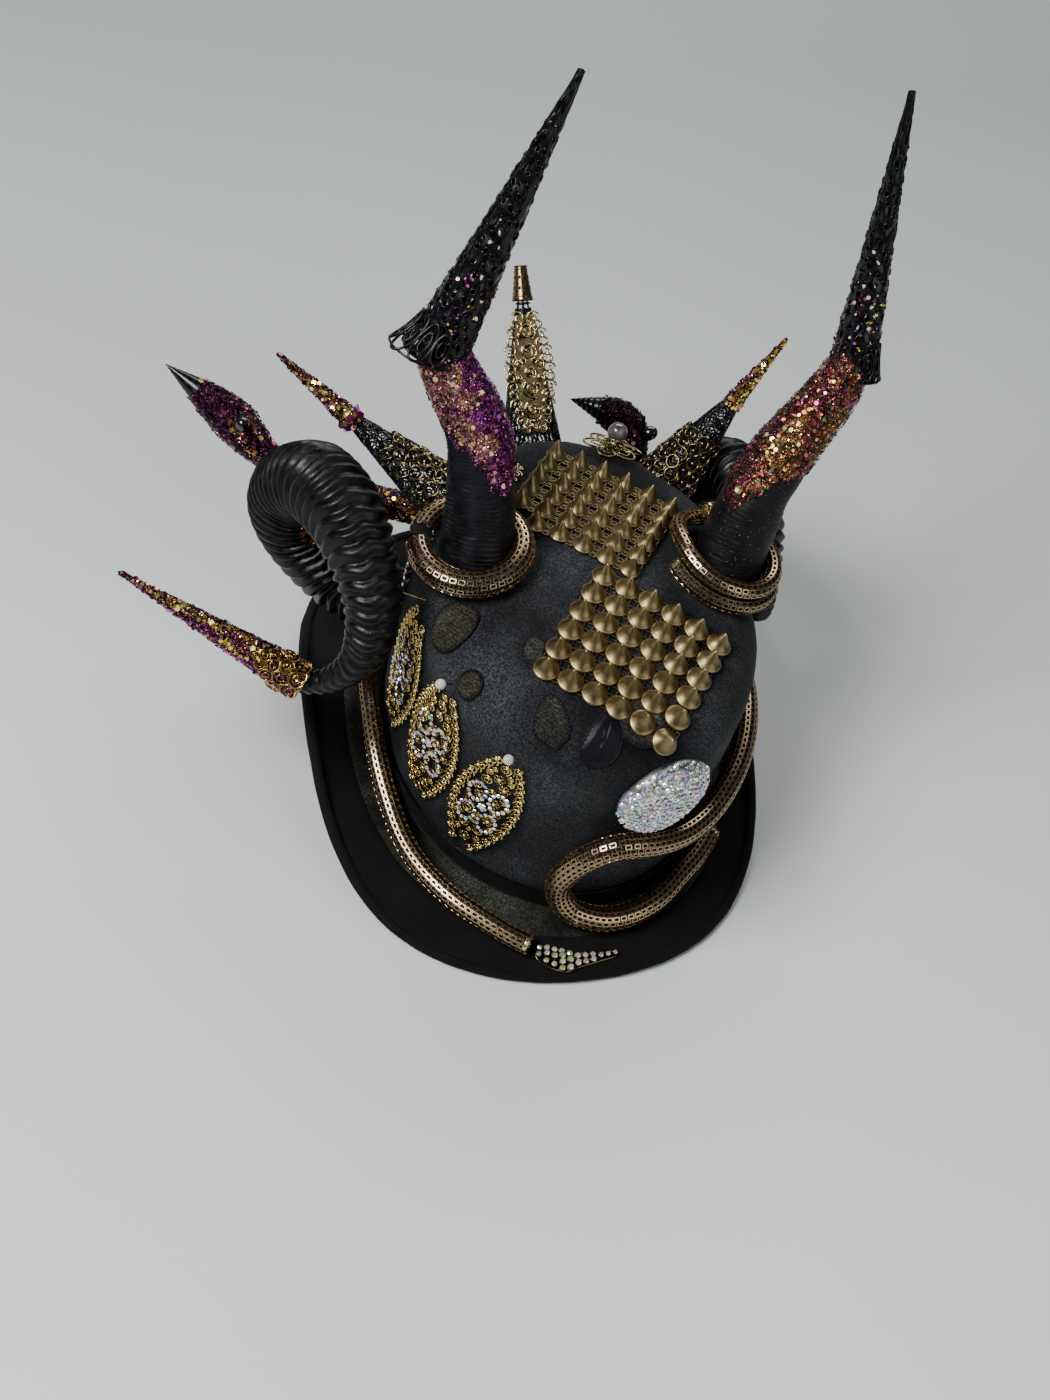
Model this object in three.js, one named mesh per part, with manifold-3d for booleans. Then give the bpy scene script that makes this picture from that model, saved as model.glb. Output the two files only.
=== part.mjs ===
// Top hat headpiece. Millimetres, +Z up, the front of the hat faces -Y.
// Left and right are as seen from the front: left is -X.
// The pieces are laid out round the hat's own axis, on the line where crown and brim meet (z = 0),
// and the finished group is then moved to stand centred over its origin on the floor.
import * as THREE from 'three';
import { mergeVertices } from 'three/addons/utils/BufferGeometryUtils.js';
import Module from 'manifold-3d';

const wasm = await Module();
wasm.setup();

// ---------------------------------------------------------------- driving dimensions

const GAP = 0.3; // between pieces that touch
const FACET = 0.25; // allowed for the chords of a piece laid on the crown
const SEAT = GAP + FACET; // clearance of a piece laid on the crown

const CROWN = { halfWidth: 83, halfLength: 102, wall: 97.7, shoulder: 26, shoulderTurn: 78, cloth: 2.2 };
const BRIM = { width: 41, felt: 2.6, edge: 2.7, low: -5.5, sideRise: 20.5, flatTo: 38, flat: 2.2 };
const BAND = { height: 13, cloth: 1.1 };
const FLOOR = BRIM.low - BRIM.edge;

const ROUND = 32; // segments round the crown, band and brim
const STUD = { height: 9.5, web: 1, turn: -34.5, waist: 0.36, hem: 0.12 };
const MESH_CHAIN = { thin: 5, thick: 6.2 }; // radii
const FILIGREE = 1.2; // thickness of pressed filigree

// ---------------------------------------------------------------- finishes

const finish = (color, roughness, metalness) => new THREE.MeshStandardMaterial({ color, roughness, metalness });
const FINISH = {
  cloth: finish(0x1b1d22, 0.9, 0),
  velvet: finish(0x0c0c0f, 0.95, 0),
  satin: finish(0x0b0b0d, 0.45, 0),
  cord: finish(0x101014, 0.6, 0.1),
  resin: finish(0x0a0b0d, 0.35, 0),
  glitter: finish(0x8a3a74, 0.35, 0.6),
  darkMetal: finish(0x0d0d0f, 0.4, 0.8),
  gold: finish(0xb8923e, 0.35, 1),
  brass: finish(0x8f6d2f, 0.35, 1),
  bronze: finish(0x8a6548, 0.35, 1),
  crystal: finish(0xd8dcf0, 0.1, 0.2),
  pearl: finish(0xf2f0ea, 0.25, 0),
};

// ---------------------------------------------------------------- mesh tools

const rad = THREE.MathUtils.degToRad;
const lerp = THREE.MathUtils.lerp;
const vec = (x, y, z) => new THREE.Vector3(x, y, z);
const range = (count) => Array.from({ length: count }, (_, index) => index);

function signedVolume(geometry) {
  const position = geometry.getAttribute('position');
  const index = geometry.getIndex();
  const [a, b, c] = [vec(), vec(), vec()];
  let volume = 0;
  for (let i = 0; i < index.count; i += 3) {
    a.fromBufferAttribute(position, index.getX(i));
    b.fromBufferAttribute(position, index.getX(i + 1));
    c.fromBufferAttribute(position, index.getX(i + 2));
    volume += a.dot(b.cross(c)) / 6;
  }
  return volume;
}

// Merges the shared vertices of a closed surface and turns its faces outward.
function closed(source) {
  let geometry = source.clone();
  for (const name of ['normal', 'uv']) geometry.deleteAttribute(name);
  geometry = mergeVertices(geometry, 1e-4);
  if (signedVolume(geometry) < 0) {
    const index = Array.from(geometry.getIndex().array);
    for (let i = 0; i < index.length; i += 3) [index[i], index[i + 1]] = [index[i + 1], index[i]];
    geometry.setIndex(index);
  }
  return geometry;
}

function fromTriangles(triangles) {
  const geometry = new THREE.BufferGeometry();
  const values = new Float32Array(triangles.flatMap((p) => [p.x, p.y, p.z]));
  geometry.setAttribute('position', new THREE.BufferAttribute(values, 3));
  return closed(geometry);
}

function toSolid(geometry) {
  const mesh = closed(geometry);
  return new wasm.Manifold(new wasm.Mesh({
    numProp: 3,
    vertProperties: new Float32Array(mesh.getAttribute('position').array),
    triVerts: new Uint32Array(mesh.getIndex().array),
  }));
}

function toGeometry(solid) {
  const { vertProperties, triVerts, numProp } = solid.getMesh();
  const geometry = new THREE.BufferGeometry();
  const points = new Float32Array((vertProperties.length / numProp) * 3);
  for (let i = 0; i < points.length / 3; i += 1) {
    for (const k of [0, 1, 2]) points[3 * i + k] = vertProperties[numProp * i + k];
  }
  geometry.setAttribute('position', new THREE.BufferAttribute(points, 3));
  geometry.setIndex(Array.from(triVerts));
  return geometry;
}

const join = (geometries) => toGeometry(geometries.map(toSolid).reduce((sum, next) => sum.add(next)));

// What is left of a piece outside another, as its one largest body.
function cutAway(geometry, tool) {
  const bodies = toSolid(geometry).subtract(tool).decompose();
  return toGeometry(bodies.reduce((best, next) => (next.volume() > best.volume() ? next : best)));
}

const quad = (a, b, c, d) => [a, b, c, a, c, d];

// Skin over rings of equal count. A ring stack is capped with fans, or closed on itself.
function loft(rings, { loop = false, startTip, endTip } = {}) {
  const triangles = [];
  const count = rings[0].length;
  const middle = (ring) => ring.reduce((sum, p) => sum.clone().add(p), vec(0, 0, 0)).divideScalar(count);
  const last = loop ? rings.length : rings.length - 1;
  for (let i = 0; i < last; i += 1) {
    const [near, far] = [rings[i], rings[(i + 1) % rings.length]];
    for (let j = 0; j < count; j += 1) {
      const k = (j + 1) % count;
      triangles.push(...quad(near[j], near[k], far[k], far[j]));
    }
  }
  if (!loop) {
    const [first, end] = [rings[0], rings[rings.length - 1]];
    const [startMiddle, endMiddle] = [startTip ?? middle(first), endTip ?? middle(end)];
    for (let j = 0; j < count; j += 1) {
      const k = (j + 1) % count;
      triangles.push(startMiddle, first[k], first[j], endMiddle, end[j], end[k]);
    }
  }
  return fromTriangles(triangles);
}

// A tube along a curve whose radius is a function of the way along it, 0 to 1.
function tube(curve, radiusAt, sides, steps) {
  const frames = curve.computeFrenetFrames(steps, false);
  return loft(range(steps + 1).map((i) => {
    const centre = curve.getPointAt(i / steps);
    const radius = radiusAt(i / steps);
    return range(sides).map((j) => {
      const turn = (2 * Math.PI * j) / sides;
      return centre.clone()
        .addScaledVector(frames.normals[i], radius * Math.cos(turn))
        .addScaledVector(frames.binormals[i], radius * Math.sin(turn));
    });
  }));
}

const curveThrough = (rows) => new THREE.CatmullRomCurve3(rows.map(({ x, y, z }) => vec(x, y, z)), false, 'centripetal');

// The radius column of a table, eased along the curve through its points.
function radiusAlong(rows) {
  const curve = curveThrough(rows);
  const total = curve.getLength();
  const stops = rows.map((_, i) => {
    const lengths = curve.getLengths(rows.length * 40 - 40);
    return lengths[i * 40] / total;
  });
  return (t) => {
    const next = Math.max(1, stops.findIndex((stop) => stop >= t - 1e-9));
    const share = (t - stops[next - 1]) / (stops[next] - stops[next - 1]);
    return lerp(rows[next - 1].radius, rows[next].radius, THREE.MathUtils.clamp(share, 0, 1));
  };
}

// A shell over a grid of u and v. Pierced, every cell of odd row and odd column is cut through.
function shell(us, vs, at, { wraps = false, pierced = true } = {}) {
  const [columns, rows] = [us.length - 1, vs.length - 1];
  const column = (i) => (wraps ? (i + columns) % columns : i);
  const isSolid = (i, j) => {
    if (j < 0 || j >= rows || column(i) < 0 || column(i) >= columns) return false;
    return !pierced || column(i) % 2 === 0 || j % 2 === 0;
  };
  const corner = (i, j, side) => at(us[column(i)], vs[j], side);
  const triangles = [];
  const wall = (i, j, k, l) => triangles.push(...quad(corner(i, j, 0), corner(k, l, 0), corner(k, l, 1), corner(i, j, 1)));
  for (let i = 0; i < columns; i += 1) {
    for (let j = 0; j < rows; j += 1) {
      if (!isSolid(i, j)) continue;
      const [a, b, c, d] = [[i, j], [i + 1, j], [i + 1, j + 1], [i, j + 1]];
      triangles.push(...quad(...[a, b, c, d].map((place) => corner(...place, 1))));
      triangles.push(...quad(...[d, c, b, a].map((place) => corner(...place, 0))));
      if (!isSolid(i, j - 1)) wall(...a, ...b);
      if (!isSolid(i + 1, j)) wall(...b, ...c);
      if (!isSolid(i, j + 1)) wall(...c, ...d);
      if (!isSolid(i - 1, j)) wall(...d, ...a);
    }
  }
  return fromTriangles(triangles);
}

// Bounds of `count` windows that leave bars of `bar` times a window between them.
function windows(count, bar, from = 0, to = 1) {
  const total = count + (count + 1) * bar;
  const bounds = [0];
  for (let i = 0; i < count; i += 1) bounds.push(bounds.at(-1) + bar, bounds.at(-1) + bar + 1);
  bounds.push(total);
  return bounds.map((value) => lerp(from, to, value / total));
}

// The same round a closed ring, where the last window meets the first bar.
function ringWindows(count, bar) {
  const bounds = range(count).flatMap((i) => [i, i + bar / (1 + bar)]);
  return [...bounds, count].map((value) => value / count);
}

// ---------------------------------------------------------------- the crown's surface

const ARC = CROWN.wall + CROWN.shoulder * rad(CROWN.shoulderTurn); // where the dome begins, along the cloth
const DOME_INSET = CROWN.shoulder * (1 - Math.cos(rad(CROWN.shoulderTurn)));
const DOME = {
  halfWidth: CROWN.halfWidth - DOME_INSET,
  halfLength: CROWN.halfLength - DOME_INSET,
  foot: CROWN.wall + CROWN.shoulder * Math.sin(rad(CROWN.shoulderTurn)),
};
DOME.rise = DOME.halfWidth / Math.tan(rad(CROWN.shoulderTurn)) / 2;
const TOP = DOME.foot + DOME.rise;

// The point `along` mm up the cloth from the brim at an angle from the front, `out` mm outside it.
function onCrown(angle, along, out = 0) {
  const [sin, cos] = [Math.sin(rad(angle)), Math.cos(rad(angle))];
  if (along >= ARC) {
    const share = Math.max(0, 1 - (along - ARC) / DOME.halfWidth);
    const slope = vec(sin / DOME.halfWidth, -cos / DOME.halfLength, 0).multiplyScalar(2 * DOME.rise * share);
    const foot = vec(DOME.halfWidth * share * sin, -DOME.halfLength * share * cos, 0);
    foot.z = DOME.foot + DOME.rise * (1 - share * share);
    return foot.addScaledVector(slope.setZ(1).normalize(), out);
  }
  const turn = Math.max(0, along - CROWN.wall) / CROWN.shoulder;
  const inset = CROWN.shoulder - (CROWN.shoulder + out) * Math.cos(turn);
  const height = Math.min(along, CROWN.wall) + (CROWN.shoulder + out) * Math.sin(turn);
  return vec((CROWN.halfWidth - inset) * sin, -(CROWN.halfLength - inset) * cos, height);
}

// The same surface over a point of the plan, for pieces laid on the top.
function overCrown(x, y, out = 0) {
  const share = Math.hypot(x / DOME.halfWidth, y / DOME.halfLength);
  if (share <= 1) return vec(x, y, DOME.foot + DOME.rise * (1 - share * share) + out);
  let [low, high] = [-out, DOME_INSET];
  for (let i = 0; i < 30; i += 1) {
    const inset = (low + high) / 2;
    const reach = Math.hypot(x / (CROWN.halfWidth - inset), y / (CROWN.halfLength - inset));
    if (reach > 1) high = inset;
    else low = inset;
  }
  const across = CROWN.shoulder - low;
  return vec(x, y, CROWN.wall + Math.sqrt(Math.max(0, (CROWN.shoulder + out) ** 2 - across ** 2)));
}

function normalOver(x, y) {
  const step = 0.5;
  const eastward = overCrown(x + step, y).sub(overCrown(x - step, y));
  const northward = overCrown(x, y + step).sub(overCrown(x, y - step));
  return eastward.cross(northward).normalize();
}

function crownRings(out, alongs) {
  const angles = range(ROUND).map((i) => (360 * i) / ROUND);
  return alongs.map((along) => angles.map((angle) => onCrown(angle, along, out)));
}

const PROFILE = [0, 45, CROWN.wall, 108, 120, ARC, 160];

// The crown as one solid lump, `out` mm larger all round: the tool that trims what stands on it.
function crownLump(out) {
  const rings = crownRings(out, PROFILE);
  const skirt = rings[0].map((p) => vec(p.x, p.y, -20));
  return toSolid(loft([skirt, ...rings], { endTip: vec(0, 0, TOP + out) }));
}

const trimmer = crownLump(GAP);

// ---------------------------------------------------------------- crown, band and brim

function crown() {
  const outside = crownRings(0, PROFILE);
  const inside = crownRings(-CROWN.cloth, [0, CROWN.wall, 112, ARC]).reverse();
  for (const ring of [outside[0], inside.at(-1)]) ring.forEach((p) => p.setZ(GAP));
  return loft([...inside, ...outside], {
    startTip: vec(0, 0, TOP - CROWN.cloth),
    endTip: vec(0, 0, TOP),
  });
}

function band() {
  const corners = [
    { out: SEAT, height: GAP },
    { out: SEAT + BAND.cloth, height: GAP },
    { out: SEAT + BAND.cloth, height: BAND.height },
    { out: SEAT, height: BAND.height },
  ];
  return loft(range(ROUND).map((i) => corners.map(({ out, height }) => onCrown((360 * i) / ROUND, height, out))), { loop: true });
}

// How far the brim reaches from the crown, and how high its edge stands, at an angle from the front.
function brimEdge(angle) {
  const turn = rad(angle);
  const fromEnd = (Math.asin(Math.abs(Math.sin(turn))) * 180) / Math.PI;
  const curl = THREE.MathUtils.smoothstep(fromEnd, BRIM.flatTo, 92);
  return {
    reach: BRIM.width - 8 * Math.sin(turn) + 4 * Math.cos(2 * turn) - 4 * Math.cos(4 * turn) - 3 * Math.cos(turn),
    height: BRIM.low + BRIM.sideRise * curl * (1 - 0.1 * Math.sin(turn)),
  };
}

// The brim's section at an angle from the front, as points by how far out they lie and how high.
function brimSection(angle) {
  const { reach, height } = brimEdge(angle);
  const laid = (out) => ({ out, height: height * THREE.MathUtils.clamp((out - BRIM.flat) / (reach - BRIM.flat), 0, 1) ** 1.6 });
  const radius = BRIM.edge / Math.cos(rad(22.5));
  const roll = [112.5, 67.5, 22.5, -22.5, -67.5, -112.5].map((turn) => ({
    out: reach - BRIM.edge + radius * Math.cos(rad(turn)),
    height: height + radius * Math.sin(rad(turn)),
  }));
  const top = [-CROWN.cloth, BRIM.flat, reach * 0.35, reach * 0.68].map(laid);
  const under = top.toReversed().map((point) => ({ ...point, height: point.height - BRIM.felt }));
  return { top, roll, under };
}

// Height of the brim's upper face `out` mm from the crown's wall.
function brimTop(angle, out) {
  const { top, roll } = brimSection(angle);
  const upper = [...top, roll[0], roll[1]];
  const next = Math.max(1, upper.findIndex((point) => point.out >= out));
  const share = (out - upper[next - 1].out) / (upper[next].out - upper[next - 1].out);
  return lerp(upper[next - 1].height, upper[next].height, share);
}

function brim() {
  const sections = range(ROUND).map((i) => {
    const angle = (360 * i) / ROUND;
    const { top, roll, under } = brimSection(angle);
    return [...top, ...roll, ...under].map(({ out, height }) => onCrown(angle, 0, out).setZ(height));
  });
  return loft(sections, { loop: true });
}

// ---------------------------------------------------------------- tall horns, their caps and rings

const HORNS = {
  left: {
    path: [
      { x: -55.4, y: 0.2, z: 106, radius: 18 },
      { x: -58.1, y: 7.7, z: 124, radius: 17.8 },
      { x: -59, y: 20.1, z: 151, radius: 16.2 },
      { x: -62.8, y: 32.6, z: 177, radius: 15 },
      { x: -68.2, y: 39.2, z: 188.4, radius: 14.1 },
      { x: -77, y: 46.5, z: 199.5, radius: 12.8 },
      { x: -82.5, y: 52.5, z: 210.5, radius: 11.6 },
      { x: -79.5, y: 58.5, z: 226, radius: 9 },
    ],
    capFoot: vec(-86.5, 52.3, 207),
    capTip: vec(-42.1, 92.6, 331.4),
    capRadius: 14.6,
    flare: { turn: 196, reach: 9 },
    ring: {
      middle: vec(-61, 10.2, 131.5), lean: -8, radius: 6.3, from: 175, turns: 0.94, sides: 10, steps: 18,
      reach: [23.4, 23.4], rise: 0,
    },
  },
  right: {
    path: [
      { x: 59.5, y: -1, z: 110, radius: 17.5 },
      { x: 63.5, y: 6.9, z: 128.8, radius: 17.3 },
      { x: 67.7, y: 16.1, z: 150.3, radius: 16.4 },
      { x: 72.8, y: 23.5, z: 164, radius: 15.7 },
      { x: 81.2, y: 32, z: 176, radius: 14.8 },
      { x: 93.4, y: 42.4, z: 188.1, radius: 13.4 },
      { x: 104, y: 50.5, z: 202, radius: 11.8 },
      { x: 110, y: 59.5, z: 221, radius: 8.4 },
    ],
    capFoot: vec(110.6, 54.8, 207.5),
    capTip: vec(108, 102.1, 330.4),
    capRadius: 11.8,
    flare: { turn: -20, reach: 2 },
    ring: {
      middle: vec(60, 7.2, 129), lean: 13, radius: 4, from: 197, turns: 1.75, sides: 8, steps: 28,
      reach: [27, 24.4], rise: 7.9,
    },
  },
};
const HORN = { sides: 12, steps: 10 };
const CAP = { tipRadius: 1.8, solidFrom: 0.72, around: 5, rows: 4 };

// Two directions square to a third.
function sideways(direction) {
  const across = vec(0, 1, 0).cross(direction).normalize();
  return [across, direction.clone().cross(across)];
}

// A straight hollow cone between two points as a function of (turn 0..1, way 0..1, side).
function coneSurface(foot, tip, radiusAt, wall) {
  const direction = tip.clone().sub(foot).normalize();
  const [east, north] = sideways(direction);
  return (u, v, side) => {
    const turn = 2 * Math.PI * u;
    const radius = Math.max(radiusAt(v, u) - (side ? 0 : wall), 0.35);
    return foot.clone().lerp(tip, v)
      .addScaledVector(east, radius * Math.cos(turn))
      .addScaledVector(north, radius * Math.sin(turn));
  };
}

function capRadiusAt({ capRadius, flare }) {
  return (v, u) => {
    const lobe = Math.max(0, Math.cos(2 * Math.PI * u - rad(flare.turn))) ** 2;
    const skirt = flare.reach * lobe * Math.max(0, 1 - v / 0.14) ** 1.5;
    return lerp(capRadius, CAP.tipRadius, v ** 0.94) + skirt;
  };
}

function hornCap(horn, grown = 0) {
  const us = ringWindows(CAP.around, 0.55);
  const vs = [...windows(CAP.rows, 0.45, 0, CAP.solidFrom), 1];
  const radiusAt = capRadiusAt(horn);
  const surface = coneSurface(horn.capFoot, horn.capTip, (v, u) => radiusAt(v, u) + grown, FILIGREE + 2 * grown);
  return shell(us, vs, surface, { wraps: true, pierced: grown === 0 });
}

function hornBody(horn) {
  const body = tube(curveThrough(horn.path), radiusAlong(horn.path), HORN.sides, HORN.steps);
  const tools = [trimmer, toSolid(hornCap(horn, GAP)), toSolid(hornRing(horn.ring, GAP))];
  return tools.reduce(cutAway, body);
}

// A mesh tube wound round the foot of a horn, in a plane that leans outward with it. The right one
// has climbed on itself.
const LIFT = { from: 0.43, to: 0.57 }; // the stretch behind the horn where the coil climbs on itself

function hornRing({ middle, lean, radius, from, turns, sides, steps, reach, rise }, grown = 0) {
  const plane = new THREE.Matrix4().makeRotationY(rad(lean)).setPosition(middle);
  const section = (i) => {
    const climb = THREE.MathUtils.smoothstep(i / steps, LIFT.from, LIFT.to);
    const turn = rad(from) + (2 * Math.PI * turns * i) / steps;
    const out = lerp(reach[0], reach[1], climb);
    return range(sides).map((j) => {
      const round = (2 * Math.PI * j) / sides;
      const across = out + (radius + grown) * Math.cos(round);
      const up = climb * rise + (radius + grown) * Math.sin(round);
      return vec(across * Math.cos(turn), across * Math.sin(turn), up).applyMatrix4(plane);
    });
  };
  return loft(range(steps + 1).map(section));
}

// ---------------------------------------------------------------- ram horns

const RAM_PATH = [
  { x: -66, y: 30, z: 54, radius: 18 },
  { x: -84, y: 48, z: 46, radius: 18.5 },
  { x: -104.6, y: 63.2, z: 48.2, radius: 18.8 },
  { x: -119.4, y: 69.7, z: 59.7, radius: 18.7 },
  { x: -129.3, y: 72.5, z: 73.8, radius: 18.7 },
  { x: -134.5, y: 71, z: 90, radius: 18.7 },
  { x: -134.8, y: 65, z: 107, radius: 18.6 },
  { x: -132.4, y: 54, z: 123, radius: 18.5 },
  { x: -128.2, y: 40.6, z: 136, radius: 18.4 },
  { x: -119.5, y: 17, z: 142.5, radius: 17.8 },
  { x: -113.3, y: -1.8, z: 137.6, radius: 15.9 },
  { x: -109.2, y: -13.2, z: 129.3, radius: 14.4 },
  { x: -107.6, y: -20.7, z: 119.7, radius: 12.4 },
  { x: -108.2, y: -26.7, z: 105, radius: 10.7 },
  { x: -113.1, y: -27.7, z: 88, radius: 8 },
  { x: -122, y: -23.5, z: 72.5, radius: 6 },
  { x: -131.6, y: -17.8, z: 64.2, radius: 5.4 },
];
const RAM = {
  left: { ribs: 16, sides: 10, rib: 1.1, rows: RAM_PATH },
  right: { ribs: 12, sides: 10, rib: 1, rows: mirroredRam({ scale: 0.85, turn: 25, shift: vec(-4, -3, -15), rows: 15 }) },
};

// The other horn: mirrored, a little smaller, turned further back and finished without a tip cone.
function mirroredRam({ scale, turn, shift, rows }) {
  const root = vec(83, 35, 60);
  return RAM_PATH.slice(0, rows).map(({ x, y, z, radius }) => {
    const place = vec(-x, y, z).sub(root).multiplyScalar(scale).add(root);
    place.applyAxisAngle(vec(0, 0, 1), rad(turn)).add(shift);
    return { x: place.x, y: place.y, z: place.z, radius: radius * scale };
  });
}

function ramHorn({ ribs, sides, rib, rows }) {
  const plain = radiusAlong(rows);
  const steps = ribs * 2;
  const radiusAt = (t) => plain(t) - (Math.round(t * steps) % 2 ? rib * (1 - 0.6 * t) : 0);
  return cutAway(tube(curveThrough(rows), radiusAt, sides, steps), trimmer);
}

const RAM_TIP = { foot: vec(-132.2, -17.5, 64.6), end: vec(-216.2, 16.1, 100.2), radius: 9.6, tip: 0.9, sides: 10 };

function cone(foot, tip, radii, sides) {
  const at = coneSurface(foot, tip, (v) => lerp(radii[0], radii[1], v), 0);
  const ring = (v) => range(sides).map((j) => at(j / sides, v, 1));
  return loft([ring(0), ring(1)]);
}

function ramTip() {
  const body = cone(RAM_TIP.foot, RAM_TIP.end, [RAM_TIP.radius, RAM_TIP.tip], RAM_TIP.sides);
  const rows = RAM.left.rows.slice(-4).map((row) => ({ ...row, radius: row.radius + GAP }));
  const clear = toSolid(tube(curveThrough(rows), radiusAlong(rows), 10, 8));
  return cutAway(body, clear);
}

// A filigree leaf wrapped on the foot of the tip cone, on the side that faces up and forward.
function ramLeaf() {
  const { foot, end, radius, tip } = RAM_TIP;
  const radiusAt = (v) => lerp(radius, tip, v) + GAP + FILIGREE + 1;
  const at = coneSurface(foot, end, radiusAt, FILIGREE);
  const halfWidth = (v) => 0.26 * Math.sqrt(Math.max(0.02, Math.sin(Math.PI * (0.12 + 0.86 * v))));
  return shell(windows(2, 0.6), windows(3, 0.6), (u, v, side) => {
    return at(0.62 + (u * 2 - 1) * halfWidth(v), 0.01 + 0.3 * v, side);
  });
}

// ---------------------------------------------------------------- horns behind the crown

const BACK_HORNS = {
  left: {
    rows: [
      { x: -46, y: 68, z: 71, radius: 7.5 },
      { x: -58, y: 80, z: 72, radius: 7.5 },
      { x: -97, y: 90, z: 76, radius: 7.5 },
      { x: -141, y: 102, z: 88, radius: 7.3 },
      { x: -157.6, y: 114.6, z: 98, radius: 10.7 },
      { x: -172.6, y: 124.5, z: 105.5, radius: 7.4 },
      { x: -191.3, y: 135.9, z: 113.8, radius: 0.7 },
    ],
    stone: vec(-155.5, 105.5, 106.2),
    stoneSeat: 4,
  },
  right: {
    rows: [
      { x: 22, y: 86, z: 72, radius: 10 },
      { x: 30, y: 97, z: 80.5, radius: 10.3 },
      { x: 39.5, y: 109, z: 88.5, radius: 10.7 },
      { x: 44.2, y: 118, z: 95, radius: 10.6 },
      { x: 42, y: 125.3, z: 99.3, radius: 10 },
      { x: 35, y: 130, z: 101.3, radius: 8.5 },
      { x: 26, y: 134.2, z: 101.5, radius: 5.4 },
      { x: 15, y: 139.6, z: 100.5, radius: 0.7 },
    ],
    stone: vec(54.4, 117, 101.5),
    stoneSeat: 3,
  },
};
const BACK_HORN = { sides: 10, steps: 12, stone: 3.8 };

function backHorn({ rows }) {
  return cutAway(tube(curveThrough(rows), radiusAlong(rows), BACK_HORN.sides, BACK_HORN.steps), trimmer);
}

// A domed stone pressed on a horn, pointing from the horn's middle to its own.
function cabochon({ rows, stone, stoneSeat }) {
  const seat = rows[stoneSeat];
  const outward = stone.clone().sub(vec(seat.x, seat.y, seat.z)).normalize();
  const ball = new THREE.SphereGeometry(BACK_HORN.stone, 8, 5);
  ball.applyQuaternion(new THREE.Quaternion().setFromUnitVectors(vec(0, 1, 0), outward));
  ball.translate(...vec(seat.x, seat.y, seat.z).addScaledVector(outward, seat.radius + 1.2).toArray());
  const wide = rows.map((row) => ({ ...row, radius: row.radius + GAP }));
  return cutAway(ball, toSolid(tube(curveThrough(wide), radiusAlong(wide), BACK_HORN.sides, BACK_HORN.steps)));
}

// ---------------------------------------------------------------- filigree spikes

const SPIKES = {
  left: {
    foot: vec(-59, 59, 105), tip: vec(-144.9, 105.4, 153.7), metal: 0.55,
    radius: 14.5, neck: 3.6, cap: 5.6, panelTurn: 0.02, flare: 1,
  },
  right: {
    foot: vec(49, 74.8, 102.5), tip: vec(99.2, 103.9, 183.6), metal: 0.57,
    radius: 15, neck: 3.8, cap: 5, panelTurn: 0.57, flare: 0.9,
  },
};
const CENTRE = {
  foot: vec(-8.4, 99, 89.6), tip: vec(-19.9, 169.7, 160.8), metal: 0.83, radius: 16.5, neck: 3, flare: 1,
  bell: { mouth: 5.2, top: 3, sides: 10 },
};
const SPIKE = { around: 4, rows: 2 };

function spikeRadius({ radius, neck, flare }) {
  return (v) => neck + (radius - neck) * (1 - v) ** flare;
}

function spikeMetal(spike) {
  const neckEnd = spike.foot.clone().lerp(spike.tip, spike.metal);
  const surface = coneSurface(spike.foot, neckEnd, spikeRadius(spike), FILIGREE);
  const vs = [...windows(SPIKE.rows, 0.45, 0.02, 0.8), 1];
  return cutAway(shell(ringWindows(SPIKE.around, 0.5), vs, surface, { wraps: true }), trimmer);
}

function spikeGlitter(spike) {
  const direction = spike.tip.clone().sub(spike.foot).normalize();
  const start = spike.foot.clone().lerp(spike.tip, spike.metal).addScaledVector(direction, GAP);
  return cone(start, spike.tip, [spike.cap, 0.7], 8);
}

// A cluster of gold rings laid on the visible side of a spike's foot.
function spikePanel(spike) {
  const radiusAt = (v) => spikeRadius(spike)(v) + 1 + GAP + FILIGREE;
  const neckEnd = spike.foot.clone().lerp(spike.tip, spike.metal);
  const surface = coneSurface(spike.foot, neckEnd, radiusAt, FILIGREE);
  const cluster = shell(windows(2, 0.5), windows(3, 0.5), (u, v, side) => {
    return surface(spike.panelTurn + (u - 0.5) * 0.5, 0.14 + 0.56 * v, side);
  });
  return cutAway(cluster, trimmer);
}

// The gold scroll plate that leans on the front of the centre spike.
const PLATE = { halfWidth: 10.5, from: 0.2, to: 0.95, turn: 0.75 };

function centrePlate() {
  const neckEnd = CENTRE.foot.clone().lerp(CENTRE.tip, CENTRE.metal);
  const surface = coneSurface(CENTRE.foot, neckEnd, spikeRadius(CENTRE), 0);
  const along = neckEnd.clone().sub(CENTRE.foot).normalize();
  const [east, north] = sideways(along);
  const facing = east.clone().multiplyScalar(Math.cos(2 * Math.PI * PLATE.turn))
    .addScaledVector(north, Math.sin(2 * Math.PI * PLATE.turn));
  const across = along.clone().cross(facing);
  const outline = (v) => PLATE.halfWidth * Math.max(0.3, Math.sin(Math.PI * (0.1 + 0.84 * v)) ** 0.6);
  return shell(windows(2, 0.6), windows(3, 0.5), (u, v, side) => {
    const way = lerp(PLATE.from, PLATE.to, v);
    const shift = (u * 2 - 1) * outline(v);
    return surface(PLATE.turn, way, 1)
      .addScaledVector(facing, GAP + 0.1 + side * FILIGREE)
      .addScaledVector(across, shift);
  });
}

function bellCap() {
  const direction = CENTRE.tip.clone().sub(CENTRE.foot).normalize();
  const start = CENTRE.foot.clone().lerp(CENTRE.tip, CENTRE.metal).addScaledVector(direction, GAP);
  return cone(start, CENTRE.tip, [CENTRE.bell.mouth, CENTRE.bell.top], CENTRE.bell.sides);
}

// ---------------------------------------------------------------- studs

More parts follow.
